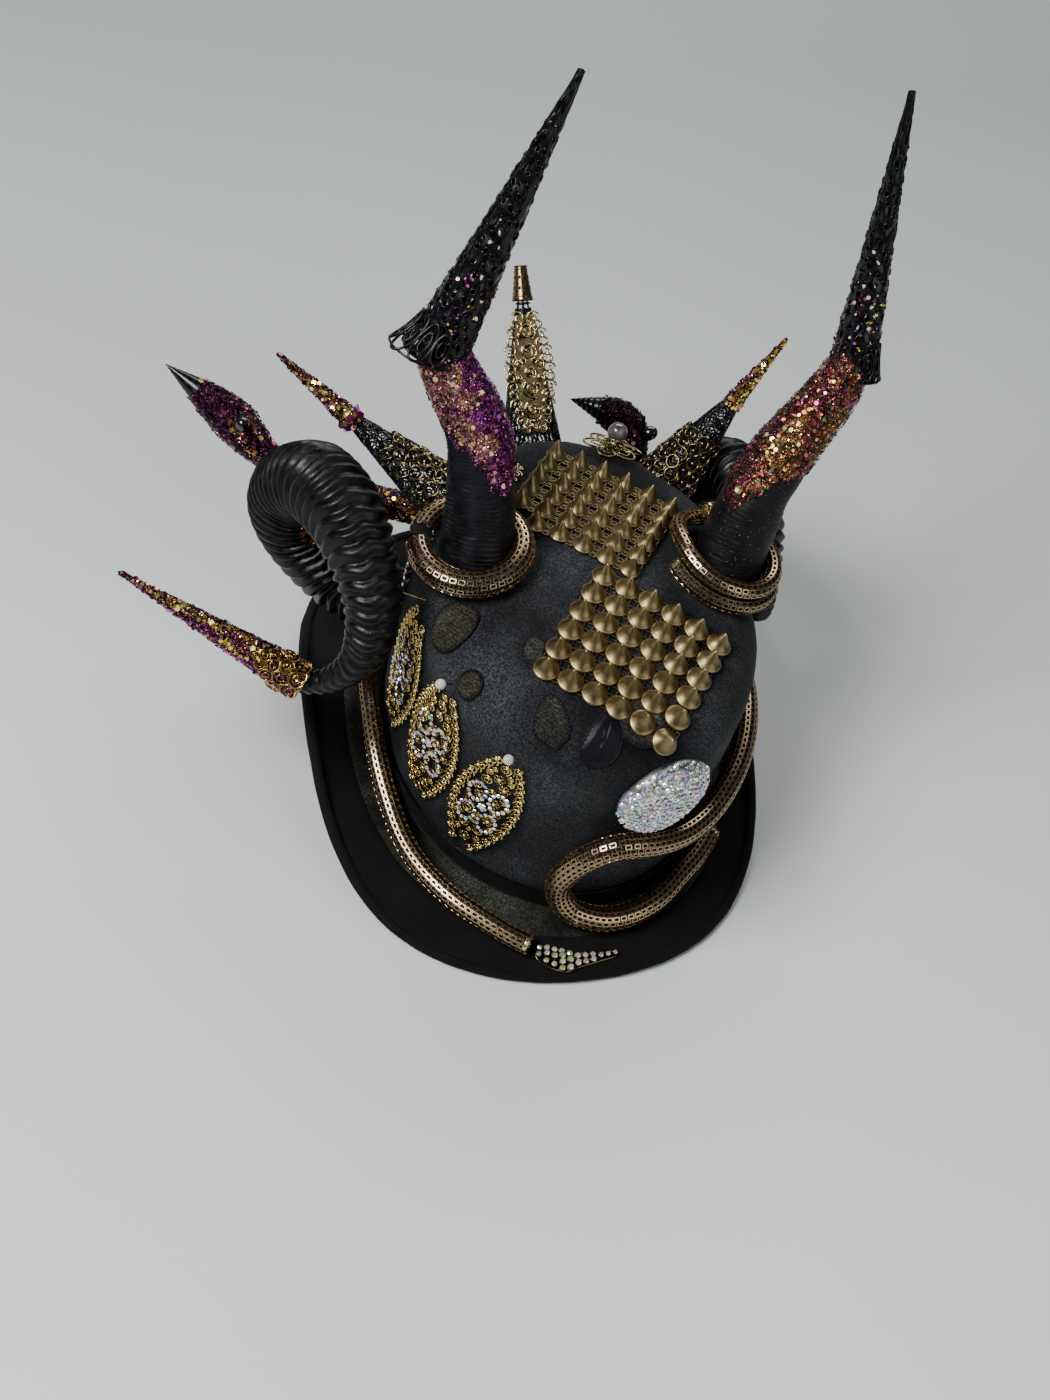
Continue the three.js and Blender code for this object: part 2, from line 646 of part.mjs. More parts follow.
// Two fields of conical studs. The rows run down to the right, and the first field lacks the
// stud that the left horn's ring covers.
const STUD_FIELDS = {
  upper: { x: 2.3, y: 36.9, columns: 6, rows: 6, pitch: [12.2, 10.1], missing: 30 },
  lower: { x: 7.5, y: -48.2, columns: 6, rows: 6, pitch: [12.1, 12.1] },
};

// Each stud is an eight-sided cone that fills one cell of the field, joined to its neighbours by a thin web.
function studField({ x, y, columns, rows, pitch, missing }) {
  const present = (i, j) => i >= 0 && j >= 0 && i < columns && j < rows && j * columns + i !== missing;
  const hemmed = (value, count) => THREE.MathUtils.clamp(value, STUD.hem, count - STUD.hem);
  const at = (column, row, lift) => {
    const across = (hemmed(column, columns) - columns / 2) * pitch[0];
    const offset = vec(across, (rows / 2 - hemmed(row, rows)) * pitch[1], 0);
    offset.applyAxisAngle(vec(0, 0, 1), rad(STUD.turn));
    return overCrown(x + offset.x, y + offset.y, SEAT + lift);
  };
  const cell = (i, j) => {
    const point = (across, along, lift = STUD.web) => at(i + 0.5 + across, j + 0.5 + along, lift);
    const sides = range(4).map((side) => [Math.cos, Math.sin].map((wave) => Math.round(wave((side * Math.PI) / 2))));
    const foot = point(0, 0, 0);
    const normal = at(i + 1, j + 0.5, 0).sub(at(i, j + 0.5, 0)).cross(at(i + 0.5, j, 0).sub(at(i + 0.5, j + 1, 0)));
    const apex = foot.addScaledVector(normal.normalize(), STUD.web + STUD.height);
    const triangles = sides.flatMap(([a, b]) => {
      const [c, d] = [-b, a]; // the next side, a quarter turn on
      const [middle, nextMiddle] = [point(a / 2, b / 2), point(c / 2, d / 2)];
      const diagonal = point((a + c) * STUD.waist, (b + d) * STUD.waist);
      const [before, corner] = [[(a - c) / 2, (b - d) / 2], [(a + c) / 2, (b + d) / 2]];
      const faces = [apex, middle, diagonal, apex, diagonal, nextMiddle];
      faces.push(middle, point(...corner), diagonal, diagonal, point(...corner), nextMiddle);
      if (!present(i + a, j + b)) {
        const [near, far] = [before, corner].map((place) => point(...place, 0));
        faces.push(near, far, middle, near, middle, point(...before), far, point(...corner), middle);
      }
      return faces;
    });
    const [p, q, r, t] = [[-0.5, -0.5], [0.5, -0.5], [0.5, 0.5], [-0.5, 0.5]].map((place) => point(...place, 0));
    return [...triangles, ...quad(t, r, q, p)];
  };
  const cells = range(columns * rows).filter((i) => i !== missing);
  return cutAway(fromTriangles(cells.flatMap((i) => cell(i % columns, Math.floor(i / columns)))), trimmer);
}

// ---------------------------------------------------------------- brooches, pebble and flower

const BROOCHES = [
  { angle: -84, height: 66, halfLength: 42, halfWidth: 17, slant: 1.5 },
  { angle: -61.5, height: 61, halfLength: 41, halfWidth: 17, slant: 0.5 },
  { angle: -38.5, height: 55, halfLength: 40, halfWidth: 17, slant: 6 },
];
const BOSS = { rise: 2.6, across: 0.45, along: 0.5 };
const MM_PER_DEGREE = (Math.PI * (CROWN.halfWidth + CROWN.halfLength)) / 360; // along the foot of the wall

// A filigree leaf bent to the wall, with a raised crystal flower in its middle.
function brooch({ angle, height, halfLength, halfWidth, slant }) {
  const outline = (v) => Math.max(0.16, Math.sin(Math.PI * (0.06 + 0.88 * v)) ** 0.75);
  return shell(windows(3, 0.5), windows(4, 0.45), (u, v, side) => {
    const [across, along] = [u * 2 - 1, v * 2 - 1];
    const boss = Math.max(0, 1 - (across / BOSS.across) ** 2 - (along / BOSS.along) ** 2);
    const out = SEAT + side * (FILIGREE + 0.4 + BOSS.rise * Math.sqrt(boss));
    const aside = (across * halfWidth * outline(v) + slant * along) / MM_PER_DEGREE;
    return onCrown(angle + aside, height + along * halfLength, out);
  });
}

const PEBBLE = { angle: 15.5, height: 88.2, halfWidth: 25.5, halfHeight: 22.8, thick: 9, sides: 14, sunk: -0.5 };

// A domed piece on the wall: rings that shrink as they rise.
function pebble() {
  const levels = [
    { size: 0.9, out: PEBBLE.sunk }, { size: 1, out: 0.3 }, { size: 0.94, out: 0.6 }, { size: 0.75, out: 0.85 }, { size: 0.4, out: 1 },
  ];
  const rings = levels.map(({ size, out }) => range(PEBBLE.sides).map((j) => {
    const turn = (2 * Math.PI * j) / PEBBLE.sides;
    const aside = (PEBBLE.halfWidth * size * Math.cos(turn)) / MM_PER_DEGREE;
    const height = PEBBLE.height + PEBBLE.halfHeight * size * Math.sin(turn);
    return onCrown(PEBBLE.angle + aside, height, SEAT + PEBBLE.thick * out);
  }));
  return cutAway(loft(rings), trimmer);
}

// Flat filigree laid on the crown's top: a plate over a point of the plan.
function laidFiligree({ x, y, halfWidth, halfLength, turn, columns, rows, lobes, rise }) {
  return shell(windows(columns, 0.6), windows(rows, 0.6), (u, v, side) => {
    const [across, along] = [u * 2 - 1, v * 2 - 1];
    const size = 1 - lobes * Math.abs(across * along);
    const offset = vec(across * halfWidth * size, along * halfLength * size, 0).applyAxisAngle(vec(0, 0, 1), rad(turn));
    return overCrown(x + offset.x, y + offset.y, SEAT + 0.2 + side * FILIGREE + (rise * (along + 1)) / 2);
  });
}

const FLOWER = { x: 22, y: 84, halfWidth: 15, halfLength: 9, turn: -14, columns: 2, rows: 2, lobes: 0.22, rise: 5 };
const SCROLL = { x: -33, y: 62, halfWidth: 5, halfLength: 8, turn: -35, columns: 1, rows: 2, lobes: 0.15, rise: 0 };
const PEARL_RADIUS = 4.8;

function pearl() {
  const seat = overCrown(FLOWER.x, FLOWER.y, 0);
  const lift = SEAT + 0.2 + FILIGREE + FLOWER.rise / 2 + GAP + 0.6 + PEARL_RADIUS;
  const ball = new THREE.SphereGeometry(PEARL_RADIUS, 10, 7);
  ball.translate(...seat.addScaledVector(normalOver(FLOWER.x, FLOWER.y), lift).toArray());
  return ball;
}

// Gold bars and crystals on the wall, in front of the left spike.
const BARS = { angle: -108, height: 96, halfWidth: 8, halfHeight: 15, thick: 3.2 };

function crystalBrooch() {
  return shell(windows(2, 0.7), windows(2, 0.7), (u, v, side) => {
    const aside = ((u * 2 - 1) * BARS.halfWidth) / MM_PER_DEGREE;
    return onCrown(BARS.angle + aside, BARS.height + (v * 2 - 1) * BARS.halfHeight, SEAT + side * BARS.thick);
  });
}

// ---------------------------------------------------------------- mesh chains and their crystals

// Chosen by hand: the angle from the front, how far out from the wall, and the height of the centre
// (or none where the chain lies on the brim).
const CHAIN_LEFT = [
  { angle: -118, out: 9 }, { angle: -103, out: 9.2 }, { angle: -86, out: 9 }, { angle: -68, out: 11.5 },
  { angle: -53, out: 15.5 }, { angle: -39, out: 19.5 }, { angle: -26, out: 22 }, { angle: -14, out: 26.5 },
];
const CHAIN_RIGHT = [
  { angle: 112, out: 7, height: 52 }, { angle: 93, out: 7, height: 56.5 }, { angle: 75, out: 7, height: 58 },
  { angle: 62, out: 7, height: 57.5 }, { angle: 50, out: 7, height: 56 }, { angle: 39, out: 7, height: 53.5 },
  { angle: 27, out: 7.1, height: 55 }, { angle: 14.5, out: 7.4, height: 60 }, { angle: 4, out: 7.4, height: 62.5 },
  { angle: -4, out: 7.4, height: 54 }, { angle: -9.3, out: 7.6, height: 37 }, { angle: -9, out: 7.8, height: 23.5 },
  { angle: -4, out: 9, height: 11.5 }, { angle: 5, out: 11.7 }, { angle: 13.5, out: 13 }, { angle: 24, out: 11.7 },
  { angle: 35, out: 8.9 }, { angle: 46, out: 8.9 }, { angle: 54, out: 8.9 },
];

function chainPath(rows, radius) {
  const guide = new THREE.CatmullRomCurve3(rows.map(({ angle, out, height }) => {
    const lying = brimTop(angle, out) + radius + SEAT + 0.35;
    return vec(angle, out, height ?? lying);
  }));
  const points = guide.getPoints(rows.length * 4).map(({ x, y, z }) => onCrown(x, 0, y).setZ(z));
  return new THREE.CatmullRomCurve3(points, false, 'centripetal');
}

const chain = (rows, radius, steps) => tube(chainPath(rows, radius), () => radius, 8, steps);

// The crystal leaf that ends the left chain, lying on the brim.
const CHAIN_END = [
  { angle: -11.3, from: 23.5, to: 29.5, thick: 4.5 }, { angle: -8, from: 22.5, to: 33, thick: 4.5 },
  { angle: -4, from: 24, to: 35, thick: 4 }, { angle: -1, from: 25.5, to: 32, thick: 3.5 },
  { angle: 4.5, from: 25.5, to: 29.5, thick: 3 }, { angle: 9, from: 26.2, to: 28, thick: 2.4 },
];

function chainEnd() {
  return loft(CHAIN_END.map(({ angle, from, to, thick }) => {
    const corner = (out, lift) => onCrown(angle, 0, out).setZ(brimTop(angle, out) + SEAT + 0.1 + lift);
    const middle = (from + to) / 2;
    return [corner(from, 0), corner(to, 0), corner(to, thick * 0.5), corner(middle, thick), corner(from, thick * 0.5)];
  }));
}

// ---------------------------------------------------------------- pins

const PINS = [
  { angle: -87, height: 110.5, lean: vec(-0.95, 0.2, 0.22), length: 17 },
  { angle: -61, height: 105, lean: vec(-0.7, -0.45, 0.55), length: 8 },
  { angle: -35.5, height: 98.5, lean: vec(-0.4, -0.7, 0.6), length: 8 },
];
const PIN = { shaft: 0.4, head: 2.5 };

function pin({ angle, height, lean, length }) {
  const profile = [
    new THREE.Vector2(0, 0), new THREE.Vector2(PIN.shaft, 0), new THREE.Vector2(PIN.shaft, length),
    ...[-60, -20, 20, 60].map((turn) => new THREE.Vector2(
      PIN.head * Math.cos(rad(turn)),
      length + PIN.head * (1 + Math.sin(rad(turn))),
    )),
    new THREE.Vector2(0, length + 2 * PIN.head),
  ];
  const body = new THREE.LatheGeometry(profile, 6);
  body.applyQuaternion(new THREE.Quaternion().setFromUnitVectors(vec(0, 1, 0), lean.clone().normalize()));
  body.translate(...onCrown(angle, height, 0.1).toArray());
  return cutAway(body, trimmer);
}

// ---------------------------------------------------------------- assembly

const group = new THREE.Group();

function add(name, geometry, material) {
  const mesh = new THREE.Mesh(closed(geometry), material);
  mesh.name = name;
  group.add(mesh);
}

add('hat_crown', crown(), FINISH.cloth);
add('hat_brim', brim(), FINISH.velvet);
add('hat_band', band(), FINISH.satin);
for (const side of ['left', 'right']) {
  add(`horn_${side}`, hornBody(HORNS[side]), FINISH.cord);
  add(`horn_cap_${side}`, hornCap(HORNS[side]), FINISH.darkMetal);
  add(`horn_ring_${side}`, cutAway(hornRing(HORNS[side].ring), trimmer), FINISH.bronze);
  add(`ram_horn_${side}`, ramHorn(RAM[side]), FINISH.resin);
  add(`back_horn_${side}`, backHorn(BACK_HORNS[side]), FINISH.glitter);
  add(`back_stone_${side}`, cabochon(BACK_HORNS[side]), FINISH.crystal);
  add(`spike_metal_${side}`, spikeMetal(SPIKES[side]), FINISH.darkMetal);
  add(`spike_glitter_${side}`, spikeGlitter(SPIKES[side]), FINISH.glitter);
  add(`spike_rings_${side}`, spikePanel(SPIKES[side]), FINISH.gold);
}
add('ram_tip', ramTip(), FINISH.glitter);
add('ram_tip_leaf', ramLeaf(), FINISH.gold);
add('centre_spike', spikeMetal(CENTRE), FINISH.darkMetal);
add('centre_plate', centrePlate(), FINISH.gold);
add('centre_bell', bellCap(), FINISH.bronze);
add('studs_upper', studField(STUD_FIELDS.upper), FINISH.brass);
add('studs_lower', studField(STUD_FIELDS.lower), FINISH.brass);
BROOCHES.forEach((leaf, i) => add(`brooch_${i + 1}`, brooch(leaf), FINISH.gold));
add('crystal_pebble', pebble(), FINISH.crystal);
add('pearl_flower', laidFiligree(FLOWER), FINISH.bronze);
add('pearl', pearl(), FINISH.pearl);
add('gold_scroll', laidFiligree(SCROLL), FINISH.gold);
add('crystal_brooch', crystalBrooch(), FINISH.gold);
add('chain_left', chain(CHAIN_LEFT, MESH_CHAIN.thin, 18), FINISH.bronze);
add('chain_right', chain(CHAIN_RIGHT, MESH_CHAIN.thick, 34), FINISH.bronze);
add('chain_end', chainEnd(), FINISH.crystal);
PINS.forEach((row, i) => add(`pin_${i + 1}`, pin(row), FINISH.pearl));

// Stand the part centred over its origin.
const box = new THREE.Box3().setFromObject(group);
const middle = box.getCenter(vec());
group.position.set(-middle.x, -middle.y, -FLOOR);
group.updateMatrixWorld(true);

export default group;
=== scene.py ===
"""Top hat headpiece: the visual model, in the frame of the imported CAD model.

Shapes are worked out in millimetres round the hat's own axis, with z = 0 where crown and brim meet,
the front towards -Y and the left side towards -X. Mesh.piece moves them to the CAD model's frame in metres.
"""
import math

import bpy
import numpy as np
from mathutils import Matrix, Vector


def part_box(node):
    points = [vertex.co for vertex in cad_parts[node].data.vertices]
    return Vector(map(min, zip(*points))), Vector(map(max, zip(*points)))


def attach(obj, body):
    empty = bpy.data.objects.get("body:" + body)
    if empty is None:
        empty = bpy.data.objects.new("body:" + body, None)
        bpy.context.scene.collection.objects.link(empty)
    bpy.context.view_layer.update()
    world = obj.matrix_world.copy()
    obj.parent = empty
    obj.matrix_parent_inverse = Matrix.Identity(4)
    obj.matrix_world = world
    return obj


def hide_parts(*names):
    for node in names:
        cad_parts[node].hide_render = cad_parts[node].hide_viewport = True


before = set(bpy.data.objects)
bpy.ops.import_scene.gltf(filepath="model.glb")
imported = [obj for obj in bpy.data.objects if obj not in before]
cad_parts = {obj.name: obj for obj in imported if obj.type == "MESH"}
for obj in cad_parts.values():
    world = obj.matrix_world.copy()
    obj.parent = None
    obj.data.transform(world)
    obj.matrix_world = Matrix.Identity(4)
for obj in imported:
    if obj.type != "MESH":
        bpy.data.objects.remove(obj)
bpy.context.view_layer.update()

MM = 0.001
LOW, HIGH = (np.array(corner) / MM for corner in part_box("hat_crown"))
CROWN_GAP = 0.3
ORIGIN = np.array([(LOW[0] + HIGH[0]) / 2, (LOW[1] + HIGH[1]) / 2, LOW[2] - CROWN_GAP])
TAU = 2 * math.pi

# The camera looks at AIM from DISTANCE mm away. BACK points from AIM to it, RIGHT and UP along its own frame.
AIM = np.array([0.0, 0.0, 60.0])
DISTANCE = 975.0
BACK = np.array([-0.276, -0.592, 0.757])
RIGHT = np.array([0.961, -0.160, 0.226])
UP = np.cross(BACK, RIGHT)


# ------------------------------------------------------------------ materials

class Shader:
    """A Principled material whose nodes are added by name."""

    def __init__(self, name, **constants):
        self.material = bpy.data.materials.new(name)
        self.material.use_nodes = True
        self.tree = self.material.node_tree
        self.bsdf = self.tree.nodes["Principled BSDF"]
        self.set(self.bsdf, constants)
        self.coords = self.tree.nodes.new("ShaderNodeTexCoord").outputs["Object"]

    @staticmethod
    def set(node, values):
        for key, value in values.items():
            node.inputs[key.replace("_", " ")].default_value = value

    def link(self, source, target):
        self.tree.links.new(source, target)
        return target

    def into(self, **sources):
        for key, source in sources.items():
            self.link(source, self.bsdf.inputs[key.replace("_", " ")])
        return self

    def noise(self, scale, detail=3.0, stretch=None):
        node = self.tree.nodes.new("ShaderNodeTexNoise")
        self.set(node, {"Scale": scale, "Detail": detail})
        self.link(self.stretched(stretch), node.inputs["Vector"])
        return node.outputs["Fac"]

    def cells(self, scale, feature="F1", output="Distance"):
        node = self.tree.nodes.new("ShaderNodeTexVoronoi")
        node.feature = feature
        self.set(node, {"Scale": scale})
        self.link(self.coords, node.inputs["Vector"])
        return node.outputs[output]

    def waves(self, scale, distortion=0.0, direction="DIAGONAL"):
        node = self.tree.nodes.new("ShaderNodeTexWave")
        node.bands_direction = direction
        self.set(node, {"Scale": scale, "Distortion": distortion, "Detail": 2.0, "Detail Scale": 2.0})
        self.link(self.coords, node.inputs["Vector"])
        return node.outputs["Fac"]

    def stretched(self, stretch):
        if stretch is None:
            return self.coords
        node = self.tree.nodes.new("ShaderNodeMapping")
        node.inputs["Scale"].default_value = stretch
        self.link(self.coords, node.inputs["Vector"])
        return node.outputs["Vector"]

    def island(self):
        return self.tree.nodes.new("ShaderNodeNewGeometry").outputs["Random Per Island"]

    def pointiness(self):
        return self.tree.nodes.new("ShaderNodeNewGeometry").outputs["Pointiness"]

    def ramp(self, source, stops, stepped=False):
        node = self.tree.nodes.new("ShaderNodeValToRGB")
        node.color_ramp.interpolation = "CONSTANT" if stepped else "LINEAR"
        elements = node.color_ramp.elements
        while len(elements) < len(stops):
            elements.new(0.5)
        for element, (position, color) in zip(elements, stops):
            element.position = position
            element.color = grey(color) if np.isscalar(color) else (*color, 1.0)
        self.link(source, node.inputs["Fac"])
        return node.outputs["Color"]

    def math(self, operation, a, b=0.0):
        node = self.tree.nodes.new("ShaderNodeMath")
        node.operation = operation
        for socket, value in zip(node.inputs, (a, b)):
            if isinstance(value, (int, float)):
                socket.default_value = value
            else:
                self.link(value, socket)
        return node.outputs[0]

    def mix(self, factor, a, b, blend="MIX"):
        node = self.tree.nodes.new("ShaderNodeMix")
        node.data_type = "RGBA"
        node.blend_type = blend
        for socket, value in ((node.inputs["Factor"], factor), (node.inputs[6], a), (node.inputs[7], b)):
            if isinstance(value, (int, float)):
                socket.default_value = value
            elif isinstance(value, tuple):
                socket.default_value = (*value, 1.0)
            else:
                self.link(value, socket)
        return node.outputs[2]

    def bump(self, height, distance, strength=1.0):
        """Height in 0..1 over a distance in mm."""
        node = self.tree.nodes.new("ShaderNodeBump")
        self.set(node, {"Strength": strength, "Distance": distance * MM})
        self.link(height, node.inputs["Height"])
        earlier = self.bsdf.inputs["Normal"]
        if earlier.is_linked:
            self.link(earlier.links[0].from_socket, node.inputs["Normal"])
        self.link(node.outputs["Normal"], earlier)
        return self

    def facets(self, scale, tilt):
        """Tilts the surface by a random amount in each cell, as a layer of flat flecks does."""
        geometry = self.tree.nodes.new("ShaderNodeNewGeometry")
        cells = self.cells(scale, output="Color")
        spread = self.vector("SUBTRACT", cells, (0.5, 0.5, 0.5))
        spread = self.vector("SCALE", spread, tilt)
        total = self.vector("ADD", geometry.outputs["Normal"], spread)
        self.link(self.vector("NORMALIZE", total), self.bsdf.inputs["Normal"])
        return self

    def vector(self, operation, a, b=None):
        node = self.tree.nodes.new("ShaderNodeVectorMath")
        node.operation = operation
        self.link(a, node.inputs[0])
        if operation == "SCALE":
            node.inputs["Scale"].default_value = b
        elif isinstance(b, tuple):
            node.inputs[1].default_value = b
        elif b is not None:
            self.link(b, node.inputs[1])
        return node.outputs[0]


def grey(value):
    return (value, value, value, 1.0)


def speckled_cloth(name, dark, light, sparkle, patches=17, ribs=330):
    """Woven cloth: a fine uneven grain, rubbed light areas between dark ones and tiny bright flecks."""
    shader = Shader(name, Roughness=0.75, Sheen_Weight=0.03, Sheen_Roughness=0.5, Specular_IOR_Level=0.12)
    half = tuple(0.5 * part for part in light)
    rubbed = shader.ramp(shader.noise(patches, 3), [(0.38, dark), (0.52, half), (0.66, light)])
    grain = shader.ramp(shader.noise(1000, 5), [(0.38, 0.25), (0.50, 0.65), (0.62, 1.4)])
    weave = shader.waves(ribs, 2.5)
    cloth = shader.mix(1.0, rubbed, grain, "MULTIPLY")
    cloth = shader.mix(0.5, cloth, shader.ramp(weave, [(0.2, 0.3), (0.8, 1.0)]), "MULTIPLY")
    fleck = shader.ramp(shader.cells(1500, output="Color"), [(0.0, 0.0), (0.985, sparkle)], stepped=True)
    shader.into(Base_Color=shader.mix(0.5, cloth, fleck, "ADD"))
    shader.bump(weave, 0.2, 0.6)
    shader.bump(shader.noise(1000, 5), 0.35, 0.6)
    shader.bump(shader.noise(95, 3, (1, 1, 0.35)), 1.2, 0.6)
    return shader.bump(shader.noise(30, 3), 3.0, 0.7).material


def plain_cloth(name, dark, light, roughness, weave, sheen, streak=None):
    shader = Shader(name, Roughness=roughness, Sheen_Weight=sheen, Sheen_Roughness=0.4,
                    Specular_IOR_Level=0.2)
    tone = shader.ramp(shader.noise(60, 4), [(0.35, dark), (0.7, light)])
    thread = shader.noise(weave, 2, streak)
    shader.into(Base_Color=shader.mix(0.35, tone, shader.ramp(thread, [(0.3, 0.2), (0.7, 1.0)]), "MULTIPLY"))
    return shader.bump(thread, 0.2, 0.6).material


def wound_cord():
    shader = Shader("wound_cord", Roughness=0.45, Specular_IOR_Level=0.18)
    tone = shader.ramp(shader.noise(140, 4), [(0.35, (0.0012, 0.0014, 0.002)), (0.75, (0.007, 0.008, 0.011))])
    fleck = shader.ramp(shader.cells(2600, output="Color"), [(0.0, 0.0), (0.985, 0.4)], stepped=True)
    shader.into(
        Base_Color=shader.mix(0.6, tone, fleck, "ADD"),
        Roughness=shader.ramp(shader.noise(320, 3), [(0.3, 0.28), (0.7, 0.6)]),
    )
    return shader.bump(shader.noise(700, 4), 0.2, 0.6).material


def sparkle_cord():
    """Black cord rubbed with fine silver glitter."""
    shader = Shader("sparkle_cord", Roughness=0.5, Specular_IOR_Level=0.2)
    tone = shader.ramp(shader.noise(140, 4), [(0.35, (0.001, 0.001, 0.0013)), (0.75, (0.005, 0.0055, 0.007))])
    flecks = [(0.0, 0.0), (0.93, 0.3), (0.975, 0.6)]
    fleck = shader.ramp(shader.cells(2800, output="Color"), flecks, stepped=True)
    shader.into(Base_Color=shader.mix(0.6, tone, fleck, "ADD"), Metallic=fleck)
    return shader.bump(shader.noise(1200, 4), 0.3, 0.8).material


def ribbed_resin():
    """The ram horns' skin: black, creased along its ribs, with a satin gloss."""
    shader = Shader("ram_skin", Roughness=0.34, Specular_IOR_Level=0.2, Coat_Weight=0.05, Coat_Roughness=0.12)
    creases = shader.noise(150, 6)
    shader.into(
        Base_Color=shader.ramp(creases, [(0.35, (0.0008, 0.0008, 0.001)), (0.7, (0.005, 0.0055, 0.006))]),
        Roughness=shader.ramp(shader.noise(240, 4), [(0.3, 0.26), (0.7, 0.52)]),
    )
    shader.bump(creases, 0.7, 0.55)
    return shader.bump(shader.noise(900, 4), 0.18, 0.5).material


def jet_stone():
    shader = Shader("jet_stone", Roughness=0.06, Specular_IOR_Level=0.6, Coat_Weight=0.5, Coat_Roughness=0.03)
    tone = shader.noise(200, 2)
    shader.into(Base_Color=shader.ramp(tone, [(0.4, (0.003, 0.002, 0.003)), (0.7, (0.02, 0.008, 0.012))]))
    return shader.bump(tone, 0.02, 0.3).material


def lacquer():
    shader = Shader("black_lacquer", Roughness=0.2, Specular_IOR_Level=0.22, Coat_Weight=0.14,
                    Coat_Roughness=0.05)
    tone = shader.noise(420, 4)
    shader.into(
        Base_Color=shader.ramp(tone, [(0.35, (0.0008, 0.0008, 0.001)), (0.75, (0.005, 0.005, 0.006))]),
        Roughness=shader.ramp(tone, [(0.3, 0.14), (0.75, 0.4)]),
    )
    return shader.bump(shader.noise(1300, 3), 0.08, 0.5).material


def worn_metal(name, dark, mid, bright, roughness, stains=0.2):
    """Plated metal: bright on its edges, tarnished in its hollows."""
    shader = Shader(name, Metallic=1.0)
    edge = shader.ramp(shader.pointiness(), [(0.40, dark), (0.47, mid), (0.56, bright)])
    stain = shader.ramp(shader.noise(260, 4), [(0.36, dark), (0.58, mid)])
    shader.into(
        Base_Color=shader.mix(stains, edge, stain),
        Roughness=shader.ramp(shader.noise(700, 3), [(0.3, roughness * 0.8), (0.7, roughness * 1.3)]),
    )
    return shader.bump(shader.noise(1100, 3), 0.02, 0.3).material


def glitter(name, colors):
    """A bed of fine glitter: small flat cells of several colours, each tilted its own way, in dark glue."""
    density = 2400
    shader = Shader(name, Metallic=0.9, Roughness=0.32)
    tint = shader.ramp(shader.cells(density, output="Color"), colors, stepped=True)
    shade = shader.ramp(shader.noise(300, 3), [(0.35, 0.06), (0.65, 0.75)])
    shader.into(
        Base_Color=shader.mix(1.0, tint, shade, "MULTIPLY"),
        Roughness=shader.ramp(shader.noise(800, 2), [(0.3, 0.22), (0.7, 0.5)]),
    )
    return shader.facets(density, 1.2).material


def flakes(name, colors, roughness):
    """Loose glitter flakes, each one of several colours."""
    shader = Shader(name, Metallic=0.9)
    shader.into(
        Base_Color=shader.ramp(shader.island(), colors, stepped=True),
        Roughness=shader.ramp(shader.noise(900, 2), [(0.3, roughness * 0.6), (0.7, roughness * 1.6)]),
    )
    return shader.material


def crystal():
    """Foiled cut stones: every stone reflects one tint of the iridescent coating."""
    shader = Shader("aurora_crystal", Metallic=0.72, Coat_Weight=1.0, Coat_Roughness=0.02)
    tint = shader.ramp(shader.island(), AURORA, stepped=True)
    fire = shader.ramp(shader.cells(900, output="Color"), AURORA)
    shader.into(
        Base_Color=shader.mix(0.35, tint, fire),
        Roughness=shader.ramp(shader.noise(700, 1), [(0.3, 0.04), (0.7, 0.2)]),
    )
    return shader.material


def pearl_coat(name, dark, light):
    shader = Shader(name, Roughness=0.18, Coat_Weight=0.6, Coat_Roughness=0.08, Specular_IOR_Level=0.6)
    shader.into(Base_Color=shader.ramp(shader.noise(160, 2), [(0.35, dark), (0.7, light)]))
    return shader.bump(shader.noise(300, 2), 0.03, 0.3).material


def palette(*rows):
    """Colour stops from rows of (red, green, blue, where the next colour starts)."""
    starts = [0.0] + [row[3] for row in rows[:-1]]
    return [(start, row[:3]) for start, row in zip(starts, rows)]


